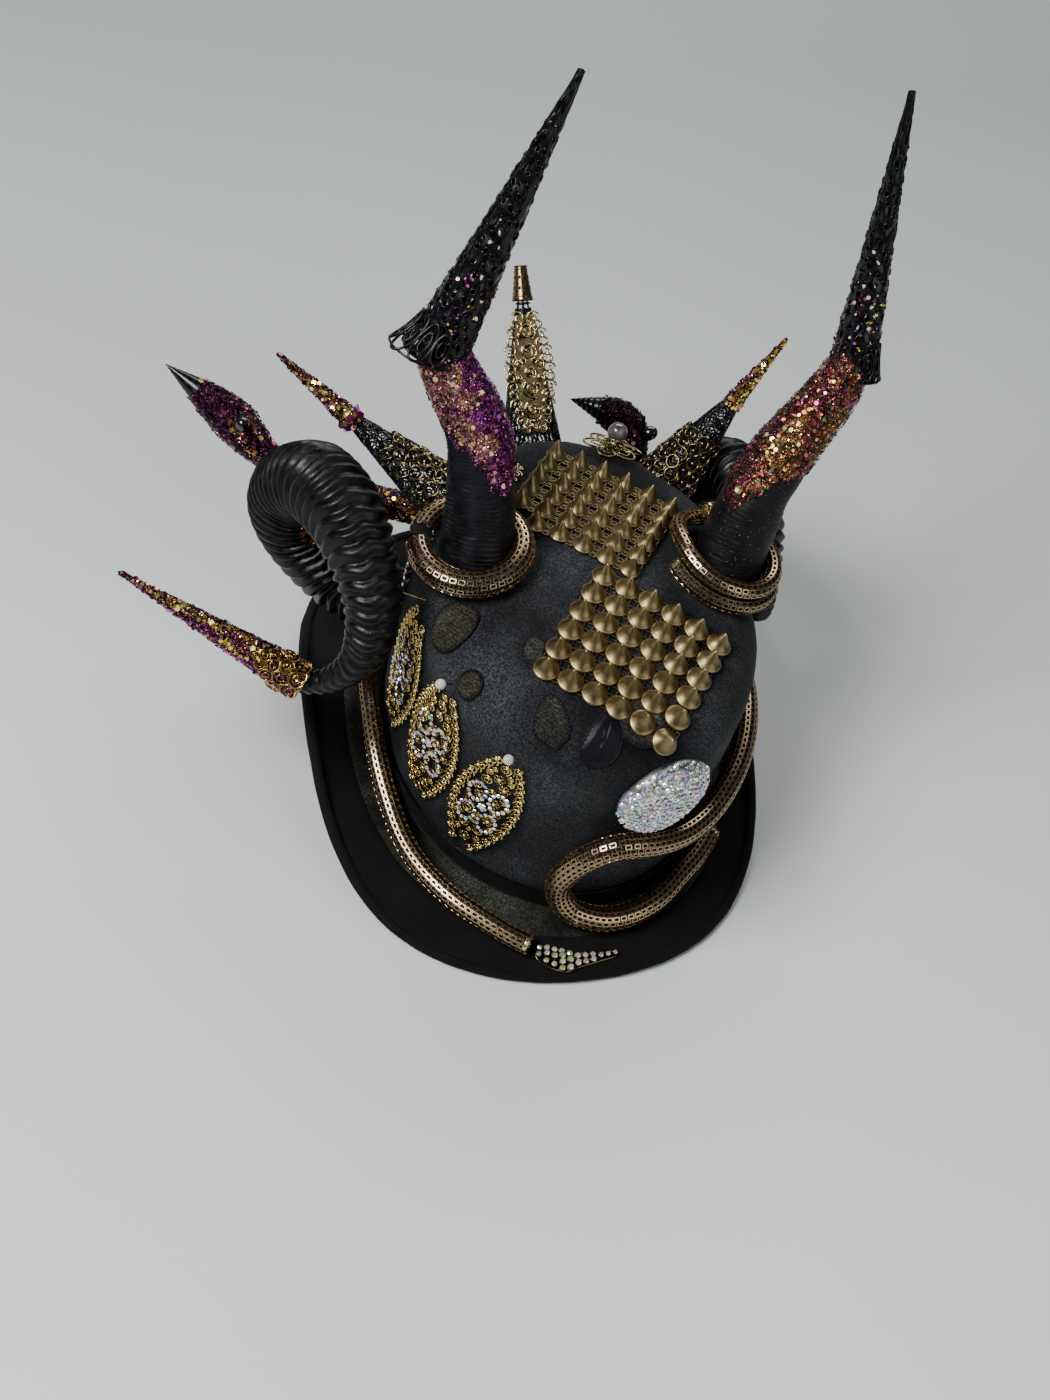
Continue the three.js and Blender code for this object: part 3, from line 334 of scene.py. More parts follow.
# Colours of glitter flakes: red, green, blue and the share of the flakes up to and with this colour.
GLITTER = {
    "pink": palette((0.34, 0.02, 0.20, 0.18), (0.20, 0.015, 0.26, 0.34), (0.50, 0.08, 0.28, 0.5),
                    (0.05, 0.006, 0.05, 0.64), (0.62, 0.20, 0.34, 0.76), (0.12, 0.01, 0.10, 0.88),
                    (0.46, 0.16, 0.60, 0.96), (0.80, 0.50, 0.30, 1)),
    "ember": palette((0.16, 0.012, 0.03, 0.16), (0.34, 0.05, 0.05, 0.3), (0.04, 0.01, 0.02, 0.44),
                     (0.28, 0.03, 0.12, 0.56), (0.05, 0.13, 0.05, 0.7), (0.50, 0.22, 0.09, 0.78),
                     (0.13, 0.02, 0.17, 0.88), (0.08, 0.17, 0.10, 0.94), (0.80, 0.42, 0.26, 1)),
    "rose": palette((0.55, 0.24, 0.22, 0.2), (0.30, 0.06, 0.12, 0.38), (0.72, 0.42, 0.32, 0.54),
                    (0.14, 0.03, 0.05, 0.68), (0.60, 0.42, 0.16, 0.84), (0.78, 0.36, 0.40, 0.93),
                    (0.28, 0.12, 0.30, 1)),
    "copper": palette((0.42, 0.18, 0.06, 0.2), (0.22, 0.03, 0.04, 0.36), (0.66, 0.40, 0.11, 0.5),
                      (0.06, 0.05, 0.02, 0.62), (0.45, 0.12, 0.09, 0.78), (0.80, 0.62, 0.22, 0.86),
                      (0.06, 0.14, 0.05, 0.94), (0.28, 0.04, 0.16, 1)),
    "wine": palette((0.035, 0.003, 0.018, 0.3), (0.10, 0.014, 0.05, 0.5), (0.012, 0.002, 0.010, 0.68),
                    (0.20, 0.05, 0.12, 0.85), (0.05, 0.012, 0.07, 0.95), (0.42, 0.18, 0.18, 1)),
    "golden": palette((0.55, 0.35, 0.06, 0.25), (0.30, 0.05, 0.12, 0.45), (0.72, 0.50, 0.10, 0.62),
                      (0.14, 0.02, 0.08, 0.8), (0.88, 0.70, 0.22, 0.92), (0.46, 0.14, 0.34, 1)),
    "gilt": palette((0.80, 0.56, 0.09, 0.35), (0.95, 0.78, 0.20, 0.55), (0.42, 0.26, 0.04, 0.72),
                    (0.98, 0.84, 0.34, 0.86), (0.60, 0.16, 0.24, 0.94), (0.20, 0.05, 0.10, 1)),
    "soot": palette((0.006, 0.004, 0.006, 0.45), (0.05, 0.004, 0.012, 0.7), (0.012, 0.006, 0.012, 0.86),
                    (0.15, 0.012, 0.03, 0.96), (0.30, 0.10, 0.12, 1)),
}
STREWN_ONLY = ("golden", "gilt")
FLAKE_ROUGHNESS = {"rose": 0.26, "gilt": 0.16}
USUAL_ROUGHNESS = 0.22
AURORA = palette((0.90, 0.94, 0.92, 0.18), (0.28, 0.62, 0.56, 0.3), (0.95, 0.94, 0.82, 0.44),
                (0.52, 0.26, 0.66, 0.56), (0.92, 0.91, 0.88, 0.68), (0.56, 0.74, 0.26, 0.78),
                (0.88, 0.90, 0.94, 0.86), (0.36, 0.45, 0.85, 0.94), (0.85, 0.42, 0.52, 1))

# Plated metals: name, tarnished, usual and bright colour, roughness and, for one, its share of stains.
METALS = {
    "gold": ("gilt_metal", (0.22, 0.13, 0.03), (0.84, 0.60, 0.20), (1.0, 0.88, 0.48), 0.2),
    "brass": ("antique_brass", (0.08, 0.06, 0.028), (0.16, 0.122, 0.058), (0.31, 0.24, 0.12), 0.38, 0.06),
    "bronze": ("bronze_links", (0.06, 0.037, 0.02), (0.23, 0.155, 0.085), (0.45, 0.325, 0.195), 0.27),
    "old_gold": ("old_gold", (0.10, 0.075, 0.03), (0.40, 0.32, 0.155), (0.85, 0.72, 0.42), 0.22),
    "pale_gold": ("pale_gold", (0.20, 0.14, 0.05), (0.72, 0.58, 0.30), (1.0, 0.90, 0.60), 0.2),
    # A darker copy of the antique brass for the links between the studs: painted shade where the studs shade
    # them.
    "brass_painted_shade": ("brass_painted_shade", (0.022, 0.016, 0.008), (0.06, 0.044, 0.02), (0.13, 0.098, 0.045), 0.45),
    "dark_bronze": ("dark_bronze", (0.04, 0.025, 0.012), (0.17, 0.115, 0.055), (0.5, 0.37, 0.2), 0.25),
    "foil": ("silver_foil", (0.10, 0.11, 0.12), (0.30, 0.31, 0.33), (0.6, 0.62, 0.64), 0.3),
}

# Smooth cloths: name, dark and light colour, roughness, threads to the metre, sheen and the threads' stretch.
PLAIN_CLOTHS = {
    "navy": ("navy_satin", (0.001, 0.0013, 0.003), (0.003, 0.004, 0.008), 0.42, 900, 0.05, (1, 1, 6)),
    "velvet": ("black_velvet", (0.0006, 0.0006, 0.0008), (0.0025, 0.0025, 0.003), 0.85, 900, 0.02),
    "satin": ("band_satin", (0.0008, 0.0008, 0.001), (0.004, 0.004, 0.005), 0.36, 700, 0.05, (1, 1, 8)),
    "thread": ("black_thread", (0.001, 0.001, 0.0012), (0.006, 0.006, 0.007), 0.5, 2600, 0.05),
    # The core is painted shade: a near-black tube inside the links that darkens the holes between them.
    "painted_shade_core": ("link_painted_shade_core", (0.003, 0.002, 0.0015), (0.012, 0.008, 0.005), 0.6, 900, 0.0),
}

# Woven cloths: name, dark and light colour, strength of the flecks, rubbed areas and ribs to the metre.
WOVEN_CLOTHS = {
    "cloth": ("charcoal_cloth", (0.0040, 0.0043, 0.0052), (0.042, 0.046, 0.052), 0.3),
    "olive": ("olive_patch", (0.030, 0.027, 0.018), (0.072, 0.067, 0.046), 0.06, 60, 210),
    "slate": ("slate_patch", (0.022, 0.021, 0.017), (0.058, 0.056, 0.046), 0.06, 60, 210),
    "brim_cloth": ("brim_cloth", (0.0030, 0.0030, 0.0026), (0.050, 0.053, 0.041), 0.06, 34),
}

MAT = {
    "cord": wound_cord(),
    "sparkle_cord": sparkle_cord(),
    "ram": ribbed_resin(),
    "lacquer": lacquer(),
    "jet": jet_stone(),
    "crystal": crystal(),
    "pearl": pearl_coat("pearl_coat", (0.42, 0.39, 0.34), (0.72, 0.69, 0.62)),
    "grey_pearl": pearl_coat("grey_pearl", (0.03, 0.028, 0.026), (0.15, 0.14, 0.13)),
}
MAT.update({key: worn_metal(*row) for key, row in METALS.items()})
MAT.update({key: plain_cloth(*row) for key, row in PLAIN_CLOTHS.items()})
MAT.update({key: speckled_cloth(*row) for key, row in WOVEN_CLOTHS.items()})
for key, colors in GLITTER.items():
    if key not in STREWN_ONLY:
        MAT[key] = glitter(f"{key}_glitter", colors)
    MAT[f"{key}_flakes"] = flakes(f"{key}_flakes", colors, FLAKE_ROUGHNESS.get(key, USUAL_ROUGHNESS))


# ------------------------------------------------------------------ mesh tools

class Mesh:
    """Gathers vertices in mm and faces, each with a material, for one piece."""

    def __init__(self):
        self.verts, self.faces, self.count, self.used = [], [], 0, []

    def add(self, verts, faces, material, smooth=True):
        verts = np.asarray(verts, float).reshape(-1, 3)
        if material not in self.used:
            self.used.append(material)
        self.verts.append(verts)
        self.faces.append((np.asarray(faces, int) + self.count, self.used.index(material), smooth))
        self.count += len(verts)

    def grid(self, points, material, wrap_u=False, wrap_v=False):
        """Quads over points[u, v]."""
        rows, columns = points.shape[:2]
        index = np.arange(rows * columns).reshape(rows, columns)
        if wrap_u:
            index = np.vstack([index, index[:1]])
        if wrap_v:
            index = np.hstack([index, index[:, :1]])
        self.add(points, quads_between(index).reshape(-1, 4), material)

    def wire(self, path, radius, sides, material, closed=False):
        """A tube of one radius, or one for each point, along a path."""
        path = np.asarray(path, float)
        radius = np.broadcast_to(np.asarray(radius, float), len(path))
        across, up, _ = frames_along(path, closed)
        turn = once_round(sides)
        rim = across[:, None] * np.cos(turn)[:, None] + up[:, None] * np.sin(turn)[:, None]
        points = path[:, None] + rim * radius[:, None, None]
        self.grid(points, material, wrap_u=closed, wrap_v=True)
        if not closed:
            ends = np.arange(sides)
            last = (len(path) - 1) * sides
            self.add(points.reshape(-1, 3), np.array([ends[::-1], ends + last]), material)

    def stamp(self, template, places, x_axes, y_axes, z_axes, material, sizes=1.0, smooth=True):
        """Copies of a template, given as (vertices, faces), with its axes turned to the ones given."""
        verts, faces = template
        sizes = np.broadcast_to(np.asarray(sizes, float), len(places))[:, None, None]
        axes = np.stack([x_axes, y_axes, z_axes], 1)
        points = np.asarray(places)[:, None] + np.einsum("vk,nkc->nvc", verts, axes) * sizes
        shift = (np.arange(len(places)) * len(verts))[:, None, None]
        self.add(points, (faces[None] + shift).reshape(-1, faces.shape[1]), material, smooth)

    def shell(self, points, chosen):
        """Quads over points[u, v], closed in v; `chosen` holds a mask over the quads for each material."""
        quads = shell_quads(*points.shape[:2])
        for material, mask in chosen.items():
            self.add(points, quads[mask], material)

    def one(self, template, place, outward, beside, material, size=1.0, smooth=True):
        """One copy of a template: its z along `outward`, its x square to `outward` and `beside`."""
        first = unit(np.cross(outward, beside))
        axes = (first[None], np.cross(outward, first)[None], outward[None])
        self.stamp(template, place[None], *axes, material, size, smooth)

    def ball(self, place, material, radius):
        self.stamp(BALL, place[None], *np.eye(3)[:, None], material, radius)

    def template(self):
        return self.verts[0], self.faces[0][0]

    def piece(self, name, nodes=(), slot=None):
        mesh = bpy.data.meshes.new(name)
        verts = (np.concatenate(self.verts) + ORIGIN) * MM
        corners = np.concatenate([faces.ravel() for faces, _, _ in self.faces])
        sizes = np.concatenate([np.full(len(faces), faces.shape[1]) for faces, _, _ in self.faces])
        mesh.vertices.add(len(verts))
        mesh.vertices.foreach_set("co", verts.ravel())
        mesh.loops.add(len(corners))
        mesh.loops.foreach_set("vertex_index", corners.astype(np.int32))
        mesh.polygons.add(len(sizes))
        mesh.polygons.foreach_set("loop_start", np.concatenate([[0], np.cumsum(sizes)[:-1]]).astype(np.int32))
        for attribute, column in (("material_index", 1), ("use_smooth", 2)):
            spread = [np.full(len(group[0]), group[column]) for group in self.faces]
            mesh.polygons.foreach_set(attribute, np.concatenate(spread))
        mesh.update(calc_edges=True)
        for key in self.used:
            mesh.materials.append(MAT[key])
        piece = bpy.data.objects.new(name, mesh)
        bpy.context.scene.collection.objects.link(piece)
        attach(piece, "root")
        if nodes:
            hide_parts(*nodes)
        return piece


def unit(vectors):
    vectors = np.asarray(vectors, float)
    return vectors / np.maximum(np.linalg.norm(vectors, axis=-1, keepdims=True), 1e-9)


def arrays(*values):
    """The values as float arrays of one shape."""
    return np.broadcast_arrays(*(np.asarray(value, float) for value in values))


def once_round(count, whole=TAU):
    """Even steps once round a circle, the end left out."""
    return whole * np.arange(count) / count


def quads_between(index):
    """Quads between the neighbours in a table of vertex numbers."""
    return np.stack([index[:-1, :-1], index[1:, :-1], index[1:, 1:], index[:-1, 1:]], -1)


def shell_quads(rows, columns):
    """Quads of a tube or lathe with `rows` rings."""
    index = np.arange(rows * columns).reshape(rows, columns)
    after = np.roll(index, -1, 1)
    return np.stack([index[:-1], after[:-1], after[1:], index[1:]], -1)


def skin_grid(shares, columns):
    """Shares of a tube's length and turns round it, over its whole skin."""
    return np.meshgrid(shares, once_round(columns), indexing="ij")


def frames_along(path, closed=False):
    """Two directions across a path, carried along it without twist, and its tangents."""
    if closed:
        tangents = unit(np.roll(path, -1, 0) - np.roll(path, 1, 0))
    else:
        tangents = unit(np.gradient(path, axis=0))
    seed = np.eye(3)[np.argmin(np.abs(tangents[0]))]
    across = [unit(np.cross(tangents[0], seed))]
    for tangent in tangents[1:]:
        carried = across[-1] - tangent * np.dot(across[-1], tangent)
        across.append(unit(carried))
    across = np.array(across)
    return across, np.cross(tangents, across), tangents


def spline(rows, count):
    """Centripetal curve through rows of x, y, z and more columns, at even steps along its length."""
    rows = np.asarray(rows, float)
    padded = np.vstack([2 * rows[0] - rows[1], rows, 2 * rows[-1] - rows[-2]])
    fine = []
    for i in range(len(rows) - 1):
        p0, p1, p2, p3 = padded[i:i + 4]
        chords = ((p0, p1), (p1, p2), (p2, p3))
        d0, d1, d2 = (max(np.linalg.norm((b - a)[:3]) ** 0.5, 1e-4) for a, b in chords)
        start = ((p1 - p0) / d0 - (p2 - p0) / (d0 + d1) + (p2 - p1) / d1) * d1
        end = ((p2 - p1) / d1 - (p3 - p1) / (d1 + d2) + (p3 - p2) / d2) * d1
        t = np.linspace(0, 1, 24, endpoint=False)[:, None]
        fine.append((2 * t**3 - 3 * t**2 + 1) * p1 + (t**3 - 2 * t**2 + t) * start
                    + (3 * t**2 - 2 * t**3) * p2 + (t**3 - t**2) * end)
    fine = np.vstack(fine + [rows[-1:]])
    length = np.concatenate([[0], np.cumsum(np.linalg.norm(np.diff(fine[:, :3], axis=0), axis=1))])
    steps = np.linspace(0, length[-1], count)
    return np.stack([np.interp(steps, length, column) for column in fine.T], 1), length[-1]


class Tube:
    """A curved horn: the surface round a curve whose fourth column is its radius."""

    def __init__(self, rows, count=400):
        points, self.length = spline(rows, count)
        self.path, self.radius = points[:, :3], points[:, 3]
        self.across, self.up, self.tangents = frames_along(self.path)
        self.at = np.linspace(0, 1, count)

    def column(self, values, t):
        return np.stack([np.interp(t, self.at, part) for part in values.T], -1)

    def point(self, t, turn, out=0.0):
        """Points at shares t of the length and turns in radians, `out` mm outside the skin."""
        t, turn, out = arrays(t, turn, out)
        outward = self.outward(t, turn)
        return self.column(self.path, t) + outward * (np.interp(t, self.at, self.radius) + out)[..., None]

    def outward(self, t, turn):
        across, up = self.column(self.across, t), self.column(self.up, t)
        return across * np.cos(turn)[..., None] + up * np.sin(turn)[..., None]

    def facing(self, t, direction):
        """The turn whose outward direction is nearest to `direction`, at shares t."""
        across, up = self.column(self.across, t), self.column(self.up, t)
        return np.arctan2(up @ direction, across @ direction)


def ramp01(value, low, high):
    share = np.clip((np.asarray(value, float) - low) / (high - low), 0, 1)
    return share * share * (3 - 2 * share)


def ripple(seed, *coordinates, waves=6):
    """Smooth pseudo-random values about -1..1 over one or more coordinates."""
    source = np.random.default_rng(seed)
    total = 0
    for _ in range(waves):
        phase = sum(c * f for c, f in zip(coordinates, source.uniform(-1, 1, len(coordinates))))
        total = total + np.sin(phase * TAU + source.uniform(0, TAU))
    return total / waves**0.5


def wound_ripple(seed, along, turn, times=1):
    """Ripples over a tube: along it, and `times` as fine round it."""
    return ripple(seed, along, np.sin(turn) * times, np.cos(turn) * times)


def hat_ripple(seed, angle, times, height):
    """Ripples round the hat at an angle in degrees, and up or out from it."""
    sin, cos = sin_cos(angle)
    return ripple(seed, sin * times, cos * times, height)


def sin_cos(angle):
    return np.sin(np.radians(angle)), np.cos(np.radians(angle))


# ------------------------------------------------------------------ small templates, in mm

def turned(profile, sides):
    """A lathe template about z from (radius, height) rows."""
    turn = once_round(sides)
    radii, heights = np.array(profile).T
    verts = np.stack([radii[:, None] * np.cos(turn), radii[:, None] * np.sin(turn),
                      np.repeat(heights[:, None], sides, 1)], -1).reshape(-1, 3)
    return verts, shell_quads(len(profile), sides).reshape(-1, 4)


def globe(rings, sides, pole=0.001):
    """A ball of radius 1 that starts at a polar angle of `pole`."""
    return turned([(math.sin(a), -math.cos(a)) for a in np.linspace(pole, math.pi - pole, rings)], sides)


def loop_template(path, radius, sides):
    """A closed wire as a template."""
    mesh = Mesh()
    mesh.wire(path, radius, sides, "gold", closed=True)
    return mesh.template()


def circle(radius, sides):
    turn = once_round(sides)
    return np.stack([radius * np.cos(turn), radius * np.sin(turn), 0 * turn], -1)


def flake(corners):
    """A flat polygon of radius 1."""
    return circle(1.0, corners), np.arange(corners)[None]


# A round cut stone of radius 1: a girdle, eight kite facets and a flat table.
STONE = turned([(0.0, -0.3), (0.85, -0.3), (1.0, 0.05), (0.82, 0.32), (0.52, 0.5), (0.0, 0.5)], 8)
RIM = loop_template(circle(1.0, 12), 0.14, 4)
BALL = globe(9, 12, 0.02)


# ------------------------------------------------------------------ the crown's surface

HALF = np.array([83.0, 102.0])  # half width and half length of the crown
WALL, SHOULDER, SHOULDER_TURN, CLOTH = 97.7, 26.0, math.radians(78), 2.2
ARC = WALL + SHOULDER * SHOULDER_TURN
DOME = HALF - SHOULDER * (1 - math.cos(SHOULDER_TURN))
DOME_FOOT = WALL + SHOULDER * math.sin(SHOULDER_TURN)
DOME_RISE = DOME[0] / math.tan(SHOULDER_TURN) / 2


def crown(angle, along, out=0.0):
    """The crown at an angle in degrees from the front, `along` mm up the cloth, `out` mm outside it."""
    angle, along, out = arrays(angle, along, out)
    sin, cos = sin_cos(angle)
    turn = np.clip(along - WALL, 0, ARC - WALL) / SHOULDER
    inset = SHOULDER - (SHOULDER + out) * np.cos(turn)
    lower = np.stack([(HALF[0] - inset) * sin, -(HALF[1] - inset) * cos,
                      np.minimum(along, WALL) + (SHOULDER + out) * np.sin(turn)], -1)
    share = np.clip(1 - (along - ARC) / DOME[0], 0, 1)
    slope = unit(np.stack([2 * DOME_RISE * share * sin / DOME[0], -2 * DOME_RISE * share * cos / DOME[1],
                           np.ones_like(share)], -1))
    upper = np.stack([DOME[0] * share * sin, -DOME[1] * share * cos,
                      DOME_FOOT + DOME_RISE * (1 - share**2)], -1) + slope * out[..., None]
    return np.where((along >= ARC)[..., None], upper, lower)


def over_crown(x, y, out=0.0):
    """The surface over a point of the plan."""
    x, y, out = arrays(x, y, out)
    share = np.hypot(x / DOME[0], y / DOME[1])
    low, high = -out.copy(), np.full_like(x, SHOULDER * (1 - math.cos(SHOULDER_TURN)))
    for _ in range(30):
        inset = (low + high) / 2
        outside = np.hypot(x / (HALF[0] - inset), y / (HALF[1] - inset)) > 1
        high = np.where(outside, inset, high)
        low = np.where(outside, low, inset)
    across = SHOULDER - low
    edge = WALL + np.sqrt(np.maximum(0, (SHOULDER + out)**2 - across**2))
    top = DOME_FOOT + DOME_RISE * (1 - share**2) + out
    return np.stack([x, y, np.where(share <= 1, top, edge)], -1)


def over_frame(x, y):
    """Places over points of the plan, and the directions east, north and up from there on the surface."""
    east = over_crown(x + 0.5, y) - over_crown(x - 0.5, y)
    north = over_crown(x, y + 0.5) - over_crown(x, y - 0.5)
    up = np.cross(east, north)
    return over_crown(x, y), unit(east), unit(np.cross(up, east)), unit(up)


# ------------------------------------------------------------------ crown, brim and band

def ring_angles(count):
    return np.linspace(-180, 180, count, endpoint=False)


CROWN_FOOT = 0.4


def crown_piece():
    """The cloth crown: a skin of overlapping layers with slight dents, an inside, and a rolled lower edge."""
    angles = ring_angles(196)
    along = np.concatenate([np.linspace(CROWN_FOOT, WALL, 50), np.linspace(WALL, ARC, 20)[1:],
                            np.linspace(ARC, ARC + DOME[0] * 0.999, 33)[1:]])
    a, s = np.meshgrid(angles, along, indexing="ij")
    dents = 0.5 * hat_ripple(3, a, 1.7, s / 55)
    layers = 0.35 * np.tanh(9 * hat_ripple(8, a, 1.1, s / 60))
    layers += 0.25 * np.tanh(12 * hat_ripple(12, a, 2, s / 45))
    creases = 0.3 * np.exp(-(hat_ripple(14, a, 2.6, s / 38) / 0.08)**2)
    relief = (dents + layers + creases) * ramp01(s, 4, 30) * 0.7 - 0.75
    mesh = Mesh()
    mesh.grid(crown(a, s, np.minimum(relief, 0)), "cloth", wrap_u=True)
    inner = np.append(along[:-1:4], along[-1])
    mesh.grid(crown(angles[::2, None], inner[None], -CLOTH)[:, ::-1], "cloth", wrap_u=True)
    foot = np.stack([crown(angles, CROWN_FOOT, out) for out in (-CLOTH, -1.4, -0.6)], 1)
    mesh.grid(foot, "cloth", wrap_u=True)
    mesh.piece("crown_cloth", ["hat_crown"], "crown_cloth")


BRIM_LOW, BRIM_EDGE, BRIM_RISE, BRIM_FELT, BRIM_FLAT = -5.5, 2.7, 20.5, 2.6, 2.2
BRIM_TUCK = 1.9  # how far it reaches under the crown
CLOTH_SHARE = 0.48  # share of its width that is cloth, inside the stitched line


def brim_reach(angle):
    """Width of the brim beyond the crown and height of its edge, at an angle from the front."""
    turn = np.radians(angle)
    from_end = np.degrees(np.arcsin(np.abs(np.sin(turn))))
    reach = 41 - 8 * np.sin(turn) + 4 * np.cos(2 * turn) - 4 * np.cos(4 * turn) - 3 * np.cos(turn)
    return reach, BRIM_LOW + BRIM_RISE * ramp01(from_end, 38, 92) * (1 - 0.1 * np.sin(turn))


def brim(angle, out, lift=0.0):
    """The brim's upper face, `out` mm beyond the crown's wall."""
    angle, out, lift = arrays(angle, out, lift)
    reach, height = brim_reach(angle)
    share = np.clip((out - BRIM_FLAT) / (reach - BRIM_FLAT), 0, 1)
    return crownless(angle, out, height * share**1.6 + lift)


def brim_over(angle, out):
    """The highest surface of the brim at a place, its rolled edge included."""
    surface = brim(angle, out)
    reach, height = brim_reach(angle)
    beside = np.clip(1 - ((out - reach + BRIM_EDGE) / BRIM_EDGE)**2, 0, 1)
    surface[..., 2] = np.maximum(surface[..., 2], height + BRIM_EDGE * np.sqrt(beside) * (beside > 0))
    return surface


def brim_piece():
    """Velvet outside, mottled cloth inside a stitched line, and a padded rolled edge."""
    angles = ring_angles(200)
    reach, height = (part[:, None] for part in brim_reach(angles))

    def places(low, high, count):
        """Angles and distances beyond the wall between two shares of the way to the rolled edge."""
        out = -BRIM_TUCK + (reach - BRIM_EDGE + BRIM_TUCK) * np.linspace(low, high, count)[None]
        return np.broadcast_to(angles[:, None], out.shape), out

    mesh = Mesh()
    parts = ((0.0, CLOTH_SHARE, "brim_cloth", 0.35), (CLOTH_SHARE, 1.0, "velvet", 0.55))
    for low, high, material, bumps in parts:
        a, out = places(low, high, 12)
        puffs = bumps * hat_ripple(5, a, 6, out / 22)
        groove = -0.7 * np.exp(-((np.linspace(low, high, 12) - CLOTH_SHARE) / 0.03)**2)[None]
        mesh.grid(brim(a, out, puffs * ramp01(out, 0, 6) * 0.8 + groove - 0.3), material, wrap_u=True)
    mesh.grid(brim(*places(1.0, 0.0, 9), -BRIM_FELT), "velvet", wrap_u=True)
    closing = np.stack([brim(angles, -BRIM_TUCK, lift) for lift in (-BRIM_FELT, -0.3)], 1)
    mesh.grid(closing, "velvet", wrap_u=True)
    a, t = np.meshgrid(angles, once_round(14), indexing="ij")
    padding = BRIM_EDGE - 0.12 + 0.12 * hat_ripple(9, a, 9, t / 3)
    roll = crownless(a, reach - BRIM_EDGE + padding * np.cos(t), height + padding * np.sin(t))
    mesh.grid(roll, "velvet", wrap_u=True, wrap_v=True)
    mesh.piece("brim_velvet", ["hat_brim"], "brim_velvet")


def crownless(angle, out, height):
    """A place `out` mm beyond the crown's wall at its own height."""
    sin, cos = sin_cos(angle)
    return np.stack(np.broadcast_arrays((HALF[0] + out) * sin, -(HALF[1] + out) * cos, height), -1)


BAND_HEIGHT = 13.0


def hat_band():
    """A satin ribbon with soft lengthwise folds."""
    angles = ring_angles(288)
    low = brim(angles, 1.0)[:, 2] + 0.5
    profile = [(0.0, 0.8), (0.04, 1.3), (0.14, 1.48), (0.28, 1.38), (0.42, 1.5), (0.56, 1.36), (0.7, 1.52),
               (0.84, 1.4), (0.95, 1.45), (1.0, 0.9)]
    rows = []
    for share, out in profile:
        wave = 0.09 * hat_ripple(21, angles, 8, share * 2) * (0.02 < share < 0.98)
        sag = (0.22 * np.sin(np.radians(angles) * 9) - 0.25) * (share > 0.9)
        rows.append(crownless(angles, out + wave, low + (BAND_HEIGHT - low) * share + sag))
    mesh = Mesh()
    mesh.grid(np.stack(rows, 1), "satin", wrap_u=True)
    piece = mesh.piece("band_ribbon", ["hat_band"], "band_satin")


STITCH = {"length": 1.8, "radius": 0.2}


def stitches(mesh, places, along, outward):
    """A running stitch: short threads that dip at their ends."""
    bow = np.linspace(-1, 1, 5)
    path = np.stack([bow * STITCH["length"] / 2, 0 * bow, 0.25 - 0.45 * bow**2], -1)
    thread = Mesh()
    thread.wire(path, [0.1, *[STITCH["radius"]] * 3, 0.1], 3, "thread")
    mesh.stamp(thread.template(), places, along, np.cross(outward, along), outward, "thread")


# ------------------------------------------------------------------ things laid on surfaces

def scatter(mesh, places, normals, sizes, tilt, material, lift, seed, corners=6):
    """Flat flakes strewn on a surface, each tilted its own way."""
    source = np.random.default_rng(seed)
    outward = unit(normals + tilt * source.normal(size=normals.shape))
    across = unit(np.cross(outward, source.normal(size=normals.shape)))
    mesh.stamp(flake(corners), places + normals * lift, across, np.cross(outward, across), outward,
               material, sizes, smooth=False)


def strewn(count, low, high, tube, seed):
    """Random shares of a tube's length between two limits, evenly spread over its skin, and turns."""
    source = np.random.default_rng(seed)
    t = source.uniform(low, high, count * 3)
    wide = np.interp(t, tube.at, tube.radius)
    t = t[source.uniform(0, wide.max(), len(t)) < wide][:count]
    return t, source.uniform(0, TAU, len(t))


def glitter_coat(mesh, tube, low, high, zones, density, chunky, out, seed, keep=None):
    """Fine and chunky flakes on a tube: `density` fine ones to the mm2, `chunky` times as many chunky ones.

    `zones` gives the material keys and a function of the place; `keep` says where flakes stay.
    """
    girth = TAU * tube.radius.mean() * tube.length * (high - low)
    source = np.random.default_rng(seed)
    kinds = ((1.0, (0.23, 0.48), 0.45, 0.0, 4), (chunky, (0.65, 1.3), 0.22, 0.3, 6))
    for share, sizes, tilt, lift, corners in kinds:
        t, turn = strewn(int(girth * density * share), low, high, tube, seed + int(share * 10))
        if keep is not None:
            chosen = keep(t, turn)
            t, turn = t[chosen], turn[chosen]
        places, normals = tube.point(t, turn, out), tube.outward(t, turn)
        zone = zones[1](t, turn, normals)
        for i, key in enumerate(zones[0]):
            here = zone == i
            if here.any():
                sized = source.uniform(*sizes, int(here.sum()))
                scatter(mesh, places[here], normals[here], sized, tilt, key, lift, seed + i, corners)


def blended_zones(direction, seed, bias=0.0, spread=0.5):
    """Two zones: the first on the side away from `direction`, with a ragged border."""
    def zone(t, turn, normals):
        ragged = spread * wound_ripple(seed, t * 9, turn) + 0.2 * ripple(seed + 1, t * 40, turn * 2)
        return (normals @ unit(direction) + ragged + bias > 0.35).astype(int)
    return zone


